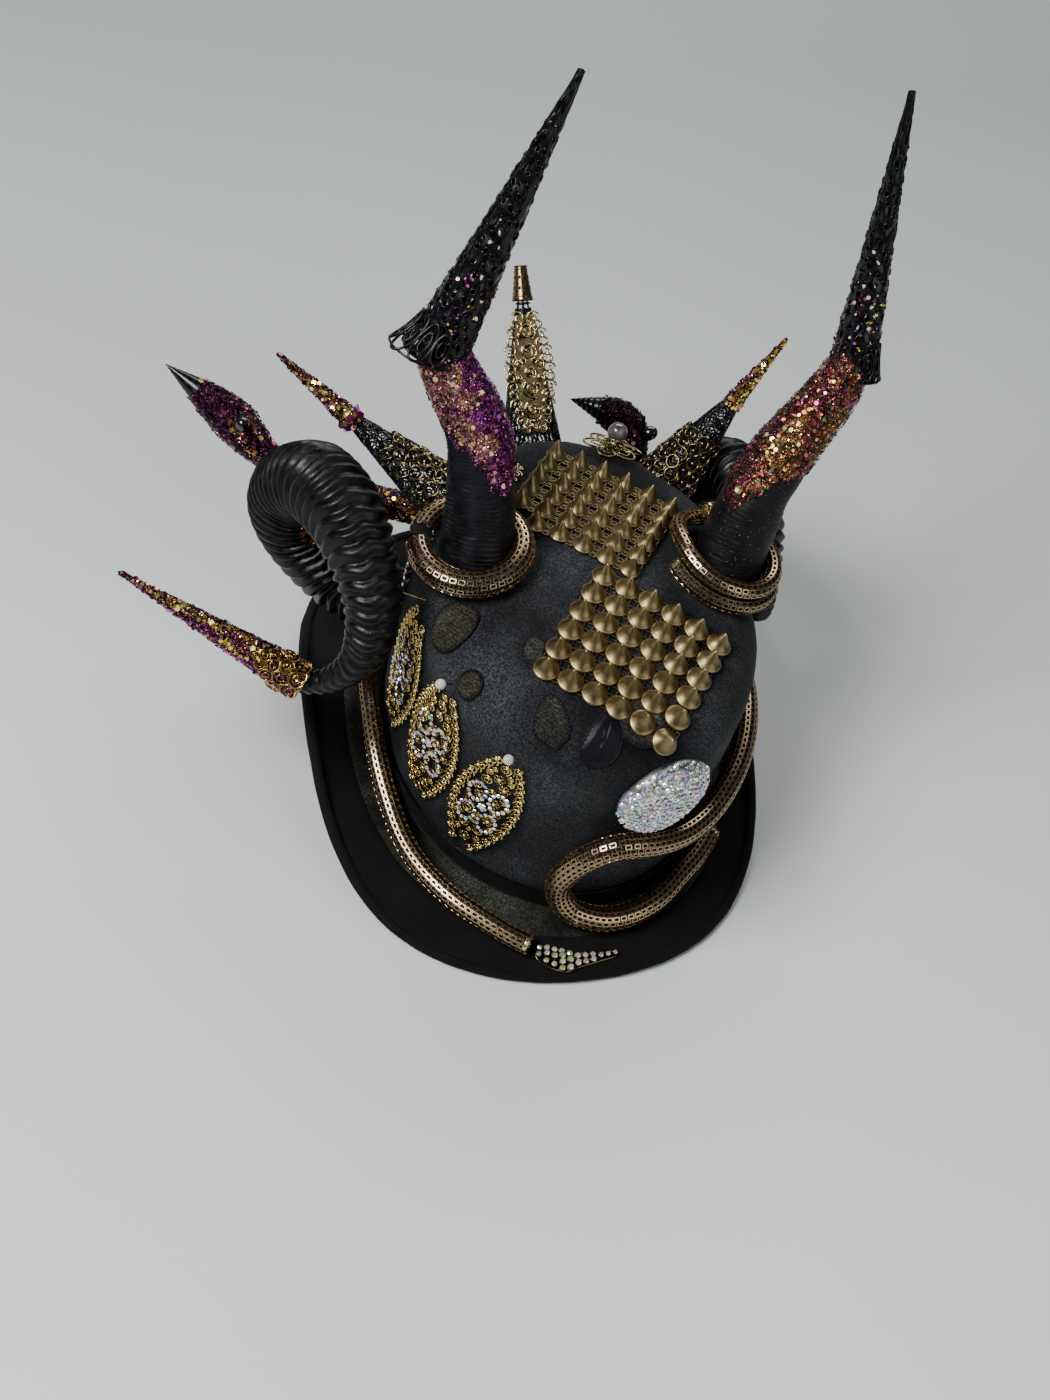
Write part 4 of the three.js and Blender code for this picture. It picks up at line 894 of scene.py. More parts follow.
def pierced(mesh, at, rows, columns, holes, material, scale, thickness=0.8, rim=0.42, wrap=True):
    """A sheet at(v, u, out) over the unit square with rimmed oval holes.

    A hole is (v, u, half height, half width, tilt), with half sizes in mm. scale(v) gives the mm along and
    round that one unit of v and u spans.
    """
    turn = once_round(12)
    for v, u, tall, wide, tilt in holes:
        along, around = scale(v)
        p, q = tall * np.cos(turn), wide * np.sin(turn)
        loop_v = v + (p * math.cos(tilt) - q * math.sin(tilt)) / along
        loop_u = u + (p * math.sin(tilt) + q * math.cos(tilt)) / around
        mesh.wire(at(np.clip(loop_v, 0, 1), loop_u, 0.0), rim, 4, material, closed=True)
    for out, order, coarser, wider in ((0.0, 1, 1, 0.0), (-thickness, -1, 2, rim)):
        vs, us = np.linspace(0, 1, rows // coarser + 1), np.linspace(0, 1, columns // coarser + 1)
        middle_v, middle_u = np.meshgrid((vs[:-1] + vs[1:]) / 2, (us[:-1] + us[1:]) / 2, indexing="ij")
        solid = np.ones(middle_v.shape, bool)
        for v, u, tall, wide, tilt in holes:
            along, around = scale(v)
            dv, du = (middle_v - v) * along, middle_u - u
            if wrap:
                du = du - np.round(du)
            du = du * around
            a = dv * math.cos(tilt) + du * math.sin(tilt)
            b = du * math.cos(tilt) - dv * math.sin(tilt)
            solid &= (a / (tall + wider))**2 + (b / (wide + wider))**2 > 1
        index = np.arange(len(vs) * len(us)).reshape(len(vs), len(us))
        v, u = np.meshgrid(vs, us, indexing="ij")
        mesh.add(at(v, u, out), quads_between(index)[solid][:, ::order], material)


# ------------------------------------------------------------------ the two tall horns

# Tall horns: x, y, z and radius along them; how far to the right of the side that faces the camera the
# glitter reaches lowest; where it starts there and how much later elsewhere; the cord's relief and material;
# the two kinds of glitter and their border.
TALL_HORNS = {
    "left": {
        "rows": [(-55.4, 0.2, 106, 18), (-58.1, 7.7, 124, 17.8), (-59, 20.1, 151, 16.2),
                 (-62.8, 32.6, 177, 15), (-68.2, 39.2, 188.4, 14.1), (-77, 46.5, 199.5, 12.8),
                 (-82.5, 52.5, 210.5, 11.6), (-79.5, 58.5, 226, 9)],
        "inner": 0.95, "lowest": 0.44, "rise": 0.21, "ridge": 0.45, "cord": "cord", "kinds": ("pink", "rose"),
        "border": ([-0.9, -0.45, 0.1], 41, 0.05, 0.35)},
    "right": {
        "rows": [(59.5, -1, 110, 17.5), (63.5, 6.9, 128.8, 17.3), (67.7, 16.1, 150.3, 16.4),
                 (72.8, 23.5, 164, 15.7), (81.2, 32, 176, 14.8), (93.4, 42.4, 188.1, 13.4),
                 (104, 50.5, 202, 11.8), (110, 59.5, 221, 8.4)],
        "inner": -0.95, "lowest": 0.38, "rise": 0.20, "ridge": 0.16, "cord": "sparkle_cord",
        "kinds": ("ember", "copper"), "border": ([0.0, -0.6, 0.8], 43, -0.42, 0.35)},
}
CORD_PITCH = 2.1
CORDED = 0.66  # share of a tall horn beyond which no cord shows


def glitter_edge(row, horn, turn):
    """Where the glitter starts, as a share of a tall horn's length: lowest in a point on its inner side."""
    inner = unit(BACK + row["inner"] * RIGHT)
    away = np.abs((turn - horn.facing(0.55, inner) + math.pi) % TAU - math.pi)
    ragged = 0.016 * np.sin(turn * 5) + 0.008 * np.sin(turn * 13)
    return row["lowest"] + row["rise"] * ramp01(away, 0.1, 2.0) + ragged


def tall_horn(side):
    row = TALL_HORNS[side]
    horn = Tube(row["rows"], 500)
    rounds = int(horn.length / CORD_PITCH)
    corded = np.linspace(0, CORDED, int(rounds * CORDED * 5))
    t, turn = skin_grid(np.concatenate([corded, np.linspace(CORDED, 1, 44)[1:]]), 52)
    wander = 0.35 * wound_ripple(31, t * 7, turn) + 0.12 * ripple(32, t * 30, turn * 2)
    winding = (t * rounds + turn / TAU + wander) % 1
    cord = np.sqrt(np.maximum(1 - (2 * winding - 1)**2, 0)) - 0.75
    edge = glitter_edge(row, horn, turn)
    coated = ramp01(t, edge - 0.015, edge + 0.02)
    lumps = 0.35 * wound_ripple(33, t * 26, turn, 3)
    dents = 0.5 * wound_ripple(34, t * 6, turn)
    creases = row["ridge"] * cord - 0.5 * np.maximum(0, wound_ripple(35, t * 22, turn, 2) - 1.1)
    relief = creases * (1 - coated) + lumps * coated + dents * 0.6 - 0.3
    zone = blended_zones(*row["border"])
    is_glitter = coated[:-1] > 0.5
    second = zone(t, turn, horn.outward(t, turn))[:-1] == 1
    first_kind, second_kind = row["kinds"]
    mesh = Mesh()
    mesh.shell(horn.point(t, turn, relief), {row["cord"]: ~is_glitter, first_kind: is_glitter & ~second,
                                             second_kind: is_glitter & second})

    def above_edge(t, turn):
        return t > glitter_edge(row, horn, turn) + 0.004

    zones = ([f"{kind}_flakes" for kind in row["kinds"]], zone)
    glitter_coat(mesh, horn, 0.34, 0.93, zones, 1.4, 0.09, 0.25, 51, above_edge)
    turn = once_round(240)
    edge = glitter_edge(row, horn, turn)
    for stray in np.random.default_rng(53).uniform(-0.022, 0.012, (4, len(edge))):
        places, normals = horn.point(edge + stray, turn, 0.35), horn.outward(edge + stray, turn)
        scatter(mesh, places, normals, 0.4, 0.6, zones[0][0], 0.1, 57)
    mesh.piece(f"tall_horn_{side}", [f"horn_{side}"], "wound_cord")


CAPS = {
    "left": {"foot": (-86.5, 52.3, 207), "tip": (-42.1, 92.6, 331.4), "radius": 14.6, "flare": (196, 9.0),
             "seed": 61},
    "right": {"foot": (110.6, 54.8, 207.5), "tip": (108, 102.1, 330.4), "radius": 11.8, "flare": (-20, 2.0),
              "seed": 62},
}
CAP_TIP = 1.8


def cone_axes(foot, tip):
    direction = unit(np.subtract(tip, foot))
    east = unit(np.cross((0, 1, 0), direction))
    return direction, east, np.cross(direction, east)


def cone_surface(foot, tip, radius_at):
    """A map at(v, u, out) on a straight cone whose radius is a function of v and u."""
    foot, tip = np.array(foot, float), np.array(tip, float)
    _, east, north = cone_axes(foot, tip)

    def at(v, u, out=0.0):
        v, u, out = arrays(v, u, out)
        radius = np.maximum(radius_at(v, u) + out, 0.2)[..., None]
        turn = (TAU * u)[..., None]
        return foot + (tip - foot) * v[..., None] + radius * (east * np.cos(turn) + north * np.sin(turn))
    return at


def girth_at(radius_at, v, u=0.0):
    return TAU * float(radius_at(np.float64(v), u))


def oval_holes(seed, rows, girth, size, gap, reach):
    """Staggered rows of uneven oval holes between two shares of a cone's length."""
    source = np.random.default_rng(seed)
    pitch = (reach[1] - reach[0]) / rows
    holes = []
    for row in range(rows):
        v = reach[0] + (row + 0.5) * pitch
        count = max(3, int(girth(v) / (2 * size(v) + gap)))
        for i in range(count):
            u = (i + 0.5 * (row % 2) + source.uniform(-0.16, 0.16)) / count
            tall = size(v) * source.uniform(0.7, 1.35)
            wide = size(v) * source.uniform(0.6, 1.0)
            if source.uniform() < 0.9:
                moved = v + source.uniform(-0.18, 0.18) * pitch
                holes.append((moved, u, tall, wide, source.uniform(-0.7, 0.7)))
    return holes


def cap_radius(row, skirt):
    """A cap's radius at (v, u), with a share of the skirt that flares out at one side of its mouth."""
    turn, reach = row["flare"]

    def radius_at(v, u):
        lobe = np.maximum(0, np.cos(TAU * u - math.radians(turn)))**2
        flared = reach * lobe * np.maximum(0, 1 - v / 0.14)**1.5
        return row["radius"] + (CAP_TIP - row["radius"]) * v**0.94 + flared * skirt
    return radius_at


def horn_cap(side):
    row = CAPS[side]
    length = np.linalg.norm(np.subtract(row["tip"], row["foot"]))
    radius_at = cap_radius(row, 0.12)
    at = cone_surface(row["foot"], row["tip"], radius_at)

    def girth(v):
        return girth_at(radius_at, v, 0.25)

    def dimpled(v, u, out=0.0):
        return at(v, u, out + 0.28 * wound_ripple(63, v * 26, TAU * u, 2) - 0.3)

    holes = oval_holes(row["seed"], 21, girth, lambda v: 2.05 - 1.15 * v, 1.25, (0.02, 0.84))
    mesh = Mesh()
    pierced(mesh, dimpled, 134, 84, holes, "lacquer", lambda v: (length, girth(v)))
    u = once_round(72, 1)
    mesh.wire(dimpled(0.012 + 0.01 * np.sin(TAU * u * 9), u), 0.6, 6, "lacquer", closed=True)
    for share in (0.1, 0.36, 0.62):
        spiral = np.linspace(share - 0.08, min(share + 0.26, 0.97), 60)
        mesh.wire(dimpled(spiral, 0.3 + spiral * 1.6 + share), 0.36, 5, "lacquer")
    tip = unit(np.subtract(row["tip"], row["foot"]))
    mesh.one(BALL, row["tip"] - tip * 0.95, tip, (0, -1, 0), "lacquer", CAP_TIP - 0.25)
    spangles(mesh, at)
    flare_loops(mesh, cone_surface(row["foot"], row["tip"], cap_radius(row, 1.0)), row["flare"][0] / 360)
    mesh.piece(f"filigree_cap_{side}", [f"horn_cap_{side}"], "black_filigree")


def flare_loops(mesh, at, middle):
    """Open wire loops that stand out at a cap's mouth, in two sizes, round a share `middle` of a turn."""
    phase = np.linspace(0, TAU, 28, endpoint=False)
    for shift, tall in ((-0.15, 0.05), (-0.075, 0.062), (0.0, 0.066), (0.075, 0.062), (0.15, 0.05)):
        for scale, wire in ((1.0, 0.62), (0.5, 0.42)):
            v = 0.066 - tall * np.cos(phase) * scale
            u = middle + shift + 0.036 * np.sin(phase) * scale
            mesh.wire(at(np.maximum(v, 0.0), u, 0.15), wire, 6, "lacquer", closed=True)
    arc = np.linspace(middle - 0.19, middle + 0.19, 40)
    mesh.wire(at(0.006, arc, 0.15), 0.6, 6, "lacquer")


def spangles(mesh, at):
    """Loose flakes caught on the lower third of a cap."""
    source = np.random.default_rng(64)
    count = 220
    v, u = 0.34 * source.uniform(0, 1, count)**1.5, source.uniform(0, 1, count)
    places = at(v, u, 0.25)
    outward = unit(at(v, u, 1.2) - places)
    third = count // 3
    for part, key in enumerate(("pink_flakes", "golden_flakes", "wine_flakes")):
        chosen = slice(part * third, (part + 1) * third)
        sizes = source.uniform(0.3, 0.95, third)
        scatter(mesh, places[chosen], outward[chosen], sizes, 0.3, key, 0.1, 65 + part)


# ------------------------------------------------------------------ woven link tubes

def flat_link(long, wide, band, above, below):
    """A link bent from flat band, in the shape of a rounded rectangle, open underneath."""
    turn = once_round(8) + TAU / 16
    x, y = (np.sign(part) * np.abs(part)**0.3 / 2 for part in (np.cos(turn), np.sin(turn)))
    outer, inner = (np.stack([x * (long - 2 * inset), y * (wide - 2 * inset)], 1) for inset in (0.0, band))
    rings = [np.column_stack([ring, np.full(8, z)])
             for ring, z in ((inner, -below), (inner, above), (outer, above), (outer, -below))]
    link = Mesh()
    link.grid(np.array(rings), "bronze", wrap_v=True)
    return link.template()


LINK = {"long": 3.4, "wide": 2.5, "wire": 0.41}
LINK_SHAPE = flat_link(LINK["long"] - 0.1, LINK["wide"] - 0.1, 0.52, 0.22, 0.3)
STUD_LINK = flat_link(3.3, 2.2, 0.5, 0.0, 0.5)


def woven_tube(mesh, path, radius, seed):
    """Rows of rectangular links round a near-black core, each row shifted by half a link; the core is painted
    shade that darkens the holes between the links.
    """
    length = np.concatenate([[0], np.cumsum(np.linalg.norm(np.diff(path, axis=0), axis=1))])
    around = max(8, int(round(TAU * radius / LINK["wide"])))
    count = int(length[-1] / LINK["long"])
    across, up, tangents = frames_along(path)
    steps = (np.arange(count * 2) + 0.5) / (count * 2) * length[-1]

    def column(values, s):
        return np.stack([np.interp(s, length, part) for part in values.T], -1)

    source = np.random.default_rng(seed)
    places, axes = [], []
    for row in range(around):
        s = steps[row % 2::2]
        turn = TAU * row / around + 0.02 * np.sin(s / 9)
        e, n, t = column(across, s), column(up, s), unit(column(tangents, s))
        outward = unit(e * np.cos(turn)[:, None] + n * np.sin(turn)[:, None])
        places.append(column(path, s) + outward * (radius - LINK["wire"]))
        tilt = outward + 0.02 * t * source.normal(size=len(s))[:, None]
        axes.append((t, unit(np.cross(tilt, t)), unit(tilt)))
    t, side, outward = (np.concatenate([group[i] for group in axes]) for i in range(3))
    mesh.stamp(LINK_SHAPE, np.concatenate(places), t, side, outward, "bronze",
               source.uniform(0.98, 1.03, len(t)), smooth=False)
    # Painted shade: a near-black core that darkens the holes between the links.
    mesh.wire(path[::3], radius - 0.95, 12, "painted_shade_core")


def end_caps(mesh, path, steps, inset, radius, material):
    """Collars on both ends of a woven tube; `steps` points of the path give their direction."""
    for end, inner in ((0, steps), (-1, -1 - steps)):
        direction = unit(path[end] - path[inner])
        collar(mesh, path[end] - direction * inset, direction, radius * 0.98, 2.6, material)


RINGS = {
    "left": {"middle": (-61, 10.2, 131.5), "lean": -8, "radius": 6.3, "from": 175, "turns": 0.94,
             "reach": (23.4, 23.4), "rise": 0.0},
    "right": {"middle": (60, 7.2, 129), "lean": 13, "radius": 4.0, "from": 197, "turns": 1.75,
              "reach": (27.0, 24.4), "rise": 7.9},
}
LIFT = (0.43, 0.57)


def ring_path(row):
    share = np.linspace(0, 1, 300)
    climb = ramp01(share, *LIFT) if row["rise"] else 0 * share
    turn = math.radians(row["from"]) + TAU * row["turns"] * share
    out = row["reach"][0] + (row["reach"][1] - row["reach"][0]) * climb
    flat = np.stack([out * np.cos(turn), out * np.sin(turn), climb * row["rise"]], -1)
    lean = math.radians(row["lean"])
    sin, cos = math.sin(lean), math.cos(lean)
    swing = np.array([[cos, 0, sin], [0, 1, 0], [-sin, 0, cos]])
    return flat @ swing.T + row["middle"]


def horn_ring(side):
    row = RINGS[side]
    path = ring_path(row)
    mesh = Mesh()
    woven_tube(mesh, path, row["radius"], 71)
    end_caps(mesh, path, 8, 2.2, row["radius"], "thread" if side == "left" else "gold")
    mesh.piece(f"woven_ring_{side}", [f"horn_ring_{side}"], "bronze_mesh")


def collar(mesh, foot, direction, radius, height, material):
    """A bell-shaped end cap for a woven tube."""
    profile = [(0.0, 0.0), (radius * 0.9, 0.0), (radius, 0.3), (radius, height * 0.7),
               (radius * 0.8, height * 0.92), (radius * 0.3, height), (0.0, height)]
    mesh.one(turned(profile, 24), foot, direction, np.eye(3)[np.argmin(np.abs(direction))], material)


# ------------------------------------------------------------------ ram horns

RAM_ROWS = [(-66, 30, 54, 18), (-84, 48, 46, 18.5), (-104.6, 63.2, 48.2, 18.8), (-119.4, 69.7, 59.7, 18.7),
            (-129.3, 72.5, 73.8, 18.7), (-134.5, 71, 90, 18.7), (-134.8, 65, 107, 18.6),
            (-132.4, 54, 123, 18.5), (-128.2, 40.6, 136, 18.4), (-119.5, 17, 142.5, 17.8),
            (-113.3, -1.8, 137.6, 15.9), (-109.2, -13.2, 129.3, 14.4), (-107.6, -20.7, 119.7, 12.4),
            (-108.2, -26.7, 105, 10.7), (-113.1, -27.7, 88, 8), (-122, -23.5, 72.5, 6),
            (-131.6, -17.8, 64.2, 5.4)]
RIGHT_RAM_ROWS = 15
RIGHT_RAM = {"scale": 0.85, "about": (83, 35, 60), "turn": 25, "shift": (-4, -3, -15)}
RIB_PITCH = 6.3
RIB_SHARE = 0.72  # share of the pitch that is rib; the rest is the valley between

# Glitter on the ram horns: its limits, its kinds and their border, the direction it faces and how nearly it
# does so, its share of chunky flakes and a seed.
RAM_GLITTER = {
    "left": (0.12, 0.42, ["copper_flakes", "wine_flakes"], ([0, 0, 1], 85), [0.75, -0.62, -0.1], 0.8,
             0.05, 87),
    "right": (0.06, 0.5, ["wine_flakes", "ember_flakes"], ([0, 0, 1], 86, -0.4), [-0.75, -0.5, 0.35], 0.55,
              0.04, 88),
}


def right_ram_rows():
    rows = np.array(RAM_ROWS[:RIGHT_RAM_ROWS], float)
    rows[:, 0] *= -1
    about = np.array(RIGHT_RAM["about"])
    points = about + (rows[:, :3] - about) * RIGHT_RAM["scale"]
    turn = math.radians(RIGHT_RAM["turn"])
    sin, cos = math.sin(turn), math.cos(turn)
    swing = np.array([[cos, -sin, 0], [sin, cos, 0], [0, 0, 1]])
    points = points @ swing.T + RIGHT_RAM["shift"]
    return np.column_stack([points, rows[:, 3] * RIGHT_RAM["scale"]])


def ram_horn(side):
    rows = RAM_ROWS if side == "left" else right_ram_rows()
    scale = 1.0 if side == "left" else RIGHT_RAM["scale"]
    horn = Tube(rows, 700)
    ribs = int(horn.length / (RIB_PITCH * scale))
    t, turn = skin_grid(np.linspace(0, 1, ribs * 12 + 1), 40)
    wander = 0.16 * wound_ripple(81, t * 5, turn)
    phase = (t * ribs + wander) % 1
    valley = -0.25 * np.sin(np.pi * (phase - RIB_SHARE) / (1 - RIB_SHARE))
    rib = np.where(phase < RIB_SHARE, np.sin(np.pi * phase / RIB_SHARE)**0.7, valley)
    fine = 0.16 * np.sin(TAU * (t * ribs * 3 + wander * 3) + 1.2 * wound_ripple(82, t * 12, turn))
    size = np.interp(t, horn.at, horn.radius) / horn.radius.max()
    relief = size * scale * (2.1 * rib + fine - 1.6 + 0.35 * wound_ripple(83, t * 8, turn))
    mesh = Mesh()
    mesh.grid(horn.point(t, turn, relief), "ram", wrap_v=True)
    low, high, kinds, border, toward, nearly, chunky, seed = RAM_GLITTER[side]

    def facing(t, turn):
        return horn.outward(t, turn) @ unit(toward) > nearly

    glitter_coat(mesh, horn, low, high, (kinds, blended_zones(*border)), 1.9, chunky, 0.4, seed, facing)
    mesh.piece(f"ram_horn_skin_{side}", [f"ram_horn_{side}"], "ram_resin")


RAM_TIP = {"foot": (-132.2, -17.5, 64.6), "end": (-216.2, 16.1, 100.2), "radius": (9.6, 0.9)}


def straight_tube(foot, tip, radii, count=200):
    return Tube([(*foot, radii[0]), (*tip, radii[1])], count)


def glitter_cone(mesh, cone, seed, lumps):
    """A cone's bed of glitter with a rounded tip."""
    t, turn = skin_grid(np.linspace(0, 1, 90), 30)
    rounding = np.sqrt(np.clip(1 - np.clip((t - 0.985) / 0.015, 0, 1)**2, 0, 1))
    relief = lumps * wound_ripple(seed, t * cone.length / 5, turn, 2) - lumps
    width = np.interp(t, cone.at, cone.radius)
    mesh.grid(cone.point(t, turn, (width + relief) * rounding - width), "wine", wrap_v=True)


def ram_tip():
    cone = straight_tube(RAM_TIP["foot"], RAM_TIP["end"], RAM_TIP["radius"])
    mesh = Mesh()
    glitter_cone(mesh, cone, 91, 0.35)
    zones = (["pink_flakes", "gilt_flakes"], blended_zones([-0.2, -0.25, 0.95], 92, -0.25, 0.3))
    glitter_coat(mesh, cone, 0.0, 0.985, zones, 2.0, 0.06, 0.0, 93)
    mesh.piece("glitter_ram_tip", ["ram_tip"], "glitter")
    leaf = Mesh()
    front = cone.facing(0.1, BACK)

    def at(x, y, out=0.0):
        """x mm round the cone from its front, y mm along it from its foot."""
        share = np.clip(np.asarray(y, float) / cone.length, 0, 1)
        width = np.interp(share, cone.at, cone.radius) + 1.4
        return cone.point(share, front + np.asarray(x) / width, 1.4 + np.asarray(out))

    for y, size, count in ((4.4, 3.6, 3), (11.0, 3.3, 4), (17.0, 2.9, 3), (22.2, 2.4, 2), (26.0, 1.3, 1)):
        for k in range(count):
            x = (k - (count - 1) / 2) * size * 1.95
            for scale, wire in ((1.0, 0.5), (0.45, 0.4)):
                loop = circle(size * scale, 16)
                leaf.wire(at(x + loop[:, 0], y + loop[:, 1] * 1.1, 0.2), wire, 4, "gold", closed=True)
    x = np.linspace(-11, 11, 40)
    leaf.wire(at(x, 1.0 + 0.5 * np.cos(x * 1.2), 0.1), 0.55, 6, "gold")
    leaf.piece("ram_tip_filigree", ["ram_tip_leaf"], "gold_filigree")


# ------------------------------------------------------------------ filigree leaves

def curl(size, turns, start, hand):
    """A C-scroll: a spiral in its own plane, from the outside in, of about `size` mm across."""
    turn = start + hand * np.linspace(0, TAU * turns, 16)
    radius = size / 2 * np.linspace(1, 0.28, 16)
    return radius * np.cos(turn), radius * np.sin(turn)


def filigree_leaf(mesh, at, half_long, half_wide, wire, material, seed, grain=1.0):
    """A pressed leaf filled with mirrored scrolls and rosettes inside a border of heart-shaped scrolls."""
    def width(v):
        return half_wide * np.maximum(0.16, np.sin(np.pi * (0.06 + 0.88 * np.clip(v, 0, 1)))**0.75)

    source = np.random.default_rng(seed)
    vs = np.linspace(0, 1, 60)
    right = np.stack([width(vs), (2 * vs - 1) * half_long], 1)
    steps = np.concatenate([[0], np.cumsum(np.linalg.norm(np.diff(right, axis=0), axis=1))])
    arches = int(steps[-1] / (6.6 * grain))
    for k in range(arches):
        s = (k + 0.5) / arches * steps[-1]
        (x, y), before, ahead = ([np.interp(s + step, steps, right[:, i]) for i in range(2)]
                                 for step in (0.0, -0.5, 0.5))
        way = math.atan2(ahead[1] - before[1], ahead[0] - before[0])
        for hand in (-1, 1):
            for mirrored in (-1, 1):
                dx, dy = curl(5.0 * grain, 1.2, way - mirrored * 0.5 * math.pi, mirrored)
                step = mirrored * 1.6 * grain
                px = x * 0.9 + step * math.cos(way) + dx
                py = y * 0.93 + step * math.sin(way) + dy
                mesh.wire(at(hand * px, py, 0.7), wire, 4, material)
            mesh.ball(at(hand * x * 0.97, y * 0.97, 0.8), material, wire * 1.7)
    for x, y, size in leaf_spots(half_long * 0.86, lambda v: width(v) * 0.76, source, grain):
        for hand in ((-1, 1) if x > 0.5 else (1,)):
            if source.uniform() < 0.25:
                blossom(mesh, at, hand * x, y, size * 0.95, material, 5, 0.9)
                continue
            dx, dy = curl(size * 2, 1.6, math.atan2(-y, -hand * x) + 0.6 * hand, hand)
            mesh.wire(at(hand * x + dx, y + dy, 0.9), wire * 1.05, 4, material)
    return source


def leaf_spots(half_long, width, source, grain):
    """Circles packed into the right half of a leaf, large ones first, to be mirrored on its rib."""
    spots = []
    for size in np.array([3.4, 2.9, 2.4, 2.0, 1.6]) * grain:
        for _ in range(260):
            y = source.uniform(-half_long, half_long)
            room = float(width((y / half_long + 1) / 2)) - size
            if room <= 0:
                continue
            x = source.uniform(0, room) if source.uniform() < 0.85 else 0.0
            if 0 < x < size * 0.95:
                continue
            if all(math.hypot(x - a, y - b) > (size + c) * 1.02 for a, b, c in spots):
                spots.append((x, y, size))
    return spots


def stone_loops(mesh, at, half_wide, half_long, source):
    """Four petals outlined with small stones round a knot of stones."""
    wide, tall = half_wide * 0.26, half_long * 0.17
    spots = []
    for sx in (-1, 1):
        for sy in (-1, 1):
            middle_x, middle_y = sx * half_wide * 0.34, sy * half_long * 0.225
            for turn in once_round(12):
                spots.append((middle_x + wide * math.cos(turn), middle_y + tall * math.sin(turn), 1.0))
    spots += [(1.5 * math.cos(turn), 1.5 * math.sin(turn), 0.95) for turn in once_round(5)] + [(0, 0, 0.9)]
    for x, y, size in spots:
        here = at(x, y, 2.3)
        outward = unit(at(x, y, 3.3) - here)
        outward = unit(outward + 0.12 * source.normal(size=3))
        mesh.one(STONE, here, outward, (0.3, 0.2, 1), "crystal", size * 1.15, smooth=False)


BROOCHES = [
    {"angle": -84, "height": 66, "half_long": 42, "half_wide": 17, "slant": 1.5},
    {"angle": -61.5, "height": 61, "half_long": 41, "half_wide": 17, "slant": 0.5},
    {"angle": -38.5, "height": 55, "half_long": 40, "half_wide": 17, "slant": 6},
]
MM_PER_DEGREE = math.pi * HALF.sum() / 360
SEAT = 0.55  # mm between the cloth and what lies on it


def wall_map(angle, height, slant=0.0):
    """mm to the right and up about a place on the wall, leaning by `slant` mm at the ends."""
    def at(x, y, out=0.0):
        lean = slant * np.asarray(y, float) / 42
        return crown(angle + (x + lean) / MM_PER_DEGREE, height + np.asarray(y), SEAT + np.asarray(out))
    return at


def brooch(number, row):
    mesh = Mesh()
    at = wall_map(row["angle"], row["height"], row["slant"])
    source = filigree_leaf(mesh, at, row["half_long"], row["half_wide"], 0.52, "gold", number)
    stone_loops(mesh, at, row["half_wide"], row["half_long"], source)
    mesh.piece(f"brooch_filigree_{number}", [f"brooch_{number}"], "gold_filigree")


# ------------------------------------------------------------------ back horns and spikes

BACK_HORNS = {
    "left": {
        "rows": [(-46, 68, 71, 7.5), (-58, 80, 72, 7.5), (-97, 90, 76, 7.5), (-141, 102, 88, 7.3),
                 (-157.6, 114.6, 98, 10.7), (-172.6, 124.5, 105.5, 7.4), (-191.3, 135.9, 113.8, 0.7)],
        "stone": (-155.5, 105.5, 106.2), "seat": 4, "tip_from": 0.885, "bed": "wine", "gold_until": 0.62},
    "right": {
        "rows": [(22, 86, 72, 10), (30, 97, 80.5, 10.3), (39.5, 109, 88.5, 10.7), (44.2, 118, 95, 10.6),
                 (42, 125.3, 99.3, 10), (35, 130, 101.3, 8.5), (26, 134.2, 101.5, 5.4),
                 (15, 139.6, 100.5, 0.7)],
        "stone": (54.4, 117, 101.5), "seat": 3, "tip_from": 0.8, "bed": "soot", "gold_until": 0.1},
}
STONE_RADIUS = 3.8
STONE_DOME = turned([(0.0, -0.6), (0.92, -0.6), (1.0, -0.35), (0.97, 0.05), (0.86, 0.42), (0.66, 0.72),
                     (0.38, 0.92), (0.12, 0.99), (0.0, 1.0)], 32)


def back_horn(side):
    row = BACK_HORNS[side]
    horn = Tube(row["rows"], 400)
    t, turn = skin_grid(np.linspace(0, 1, 150), 32)
    coated = 1 - ramp01(t, row["tip_from"] - 0.02, row["tip_from"] + 0.01)
    relief = coated * (0.45 * wound_ripple(101, t * horn.length / 5, turn, 2) - 0.3)
    relief += (1 - coated) * (0.12 * np.sin(t * horn.length * 2.2 + np.sin(turn) * 0.8) - 0.5)
    dark = coated[:-1] < 0.5
    mesh = Mesh()
    mesh.shell(horn.point(t, turn, relief), {row["bed"]: ~dark, "lacquer": dark})

    def zone(t, turn, normals):
        return (0.3 * wound_ripple(103, t * 9, turn) + row["gold_until"] - t > 0.12).astype(int)

    zones = ([f"{row['bed']}_flakes", "golden_flakes"], zone)
    glitter_coat(mesh, horn, 0.05, row["tip_from"] + 0.01, zones, 1.5, 0.06, 0.1, 104)
    mesh.piece(f"glitter_back_horn_{side}", [f"back_horn_{side}"], "glitter")
    stone = Mesh()
    *seat, radius = row["rows"][row["seat"]]
    outward = unit(np.subtract(row["stone"], seat))
    place = seat + outward * (radius + 1.2)
    stone.one(STONE_DOME, place, outward, (0, 0, 1), "jet", STONE_RADIUS)
    stone.one(RIM, place - outward * 1.5, outward, (0, 0, 1), "lacquer", STONE_RADIUS * 0.98)
    stone.piece(f"domed_stone_{side}", [f"back_stone_{side}"], "crystal")


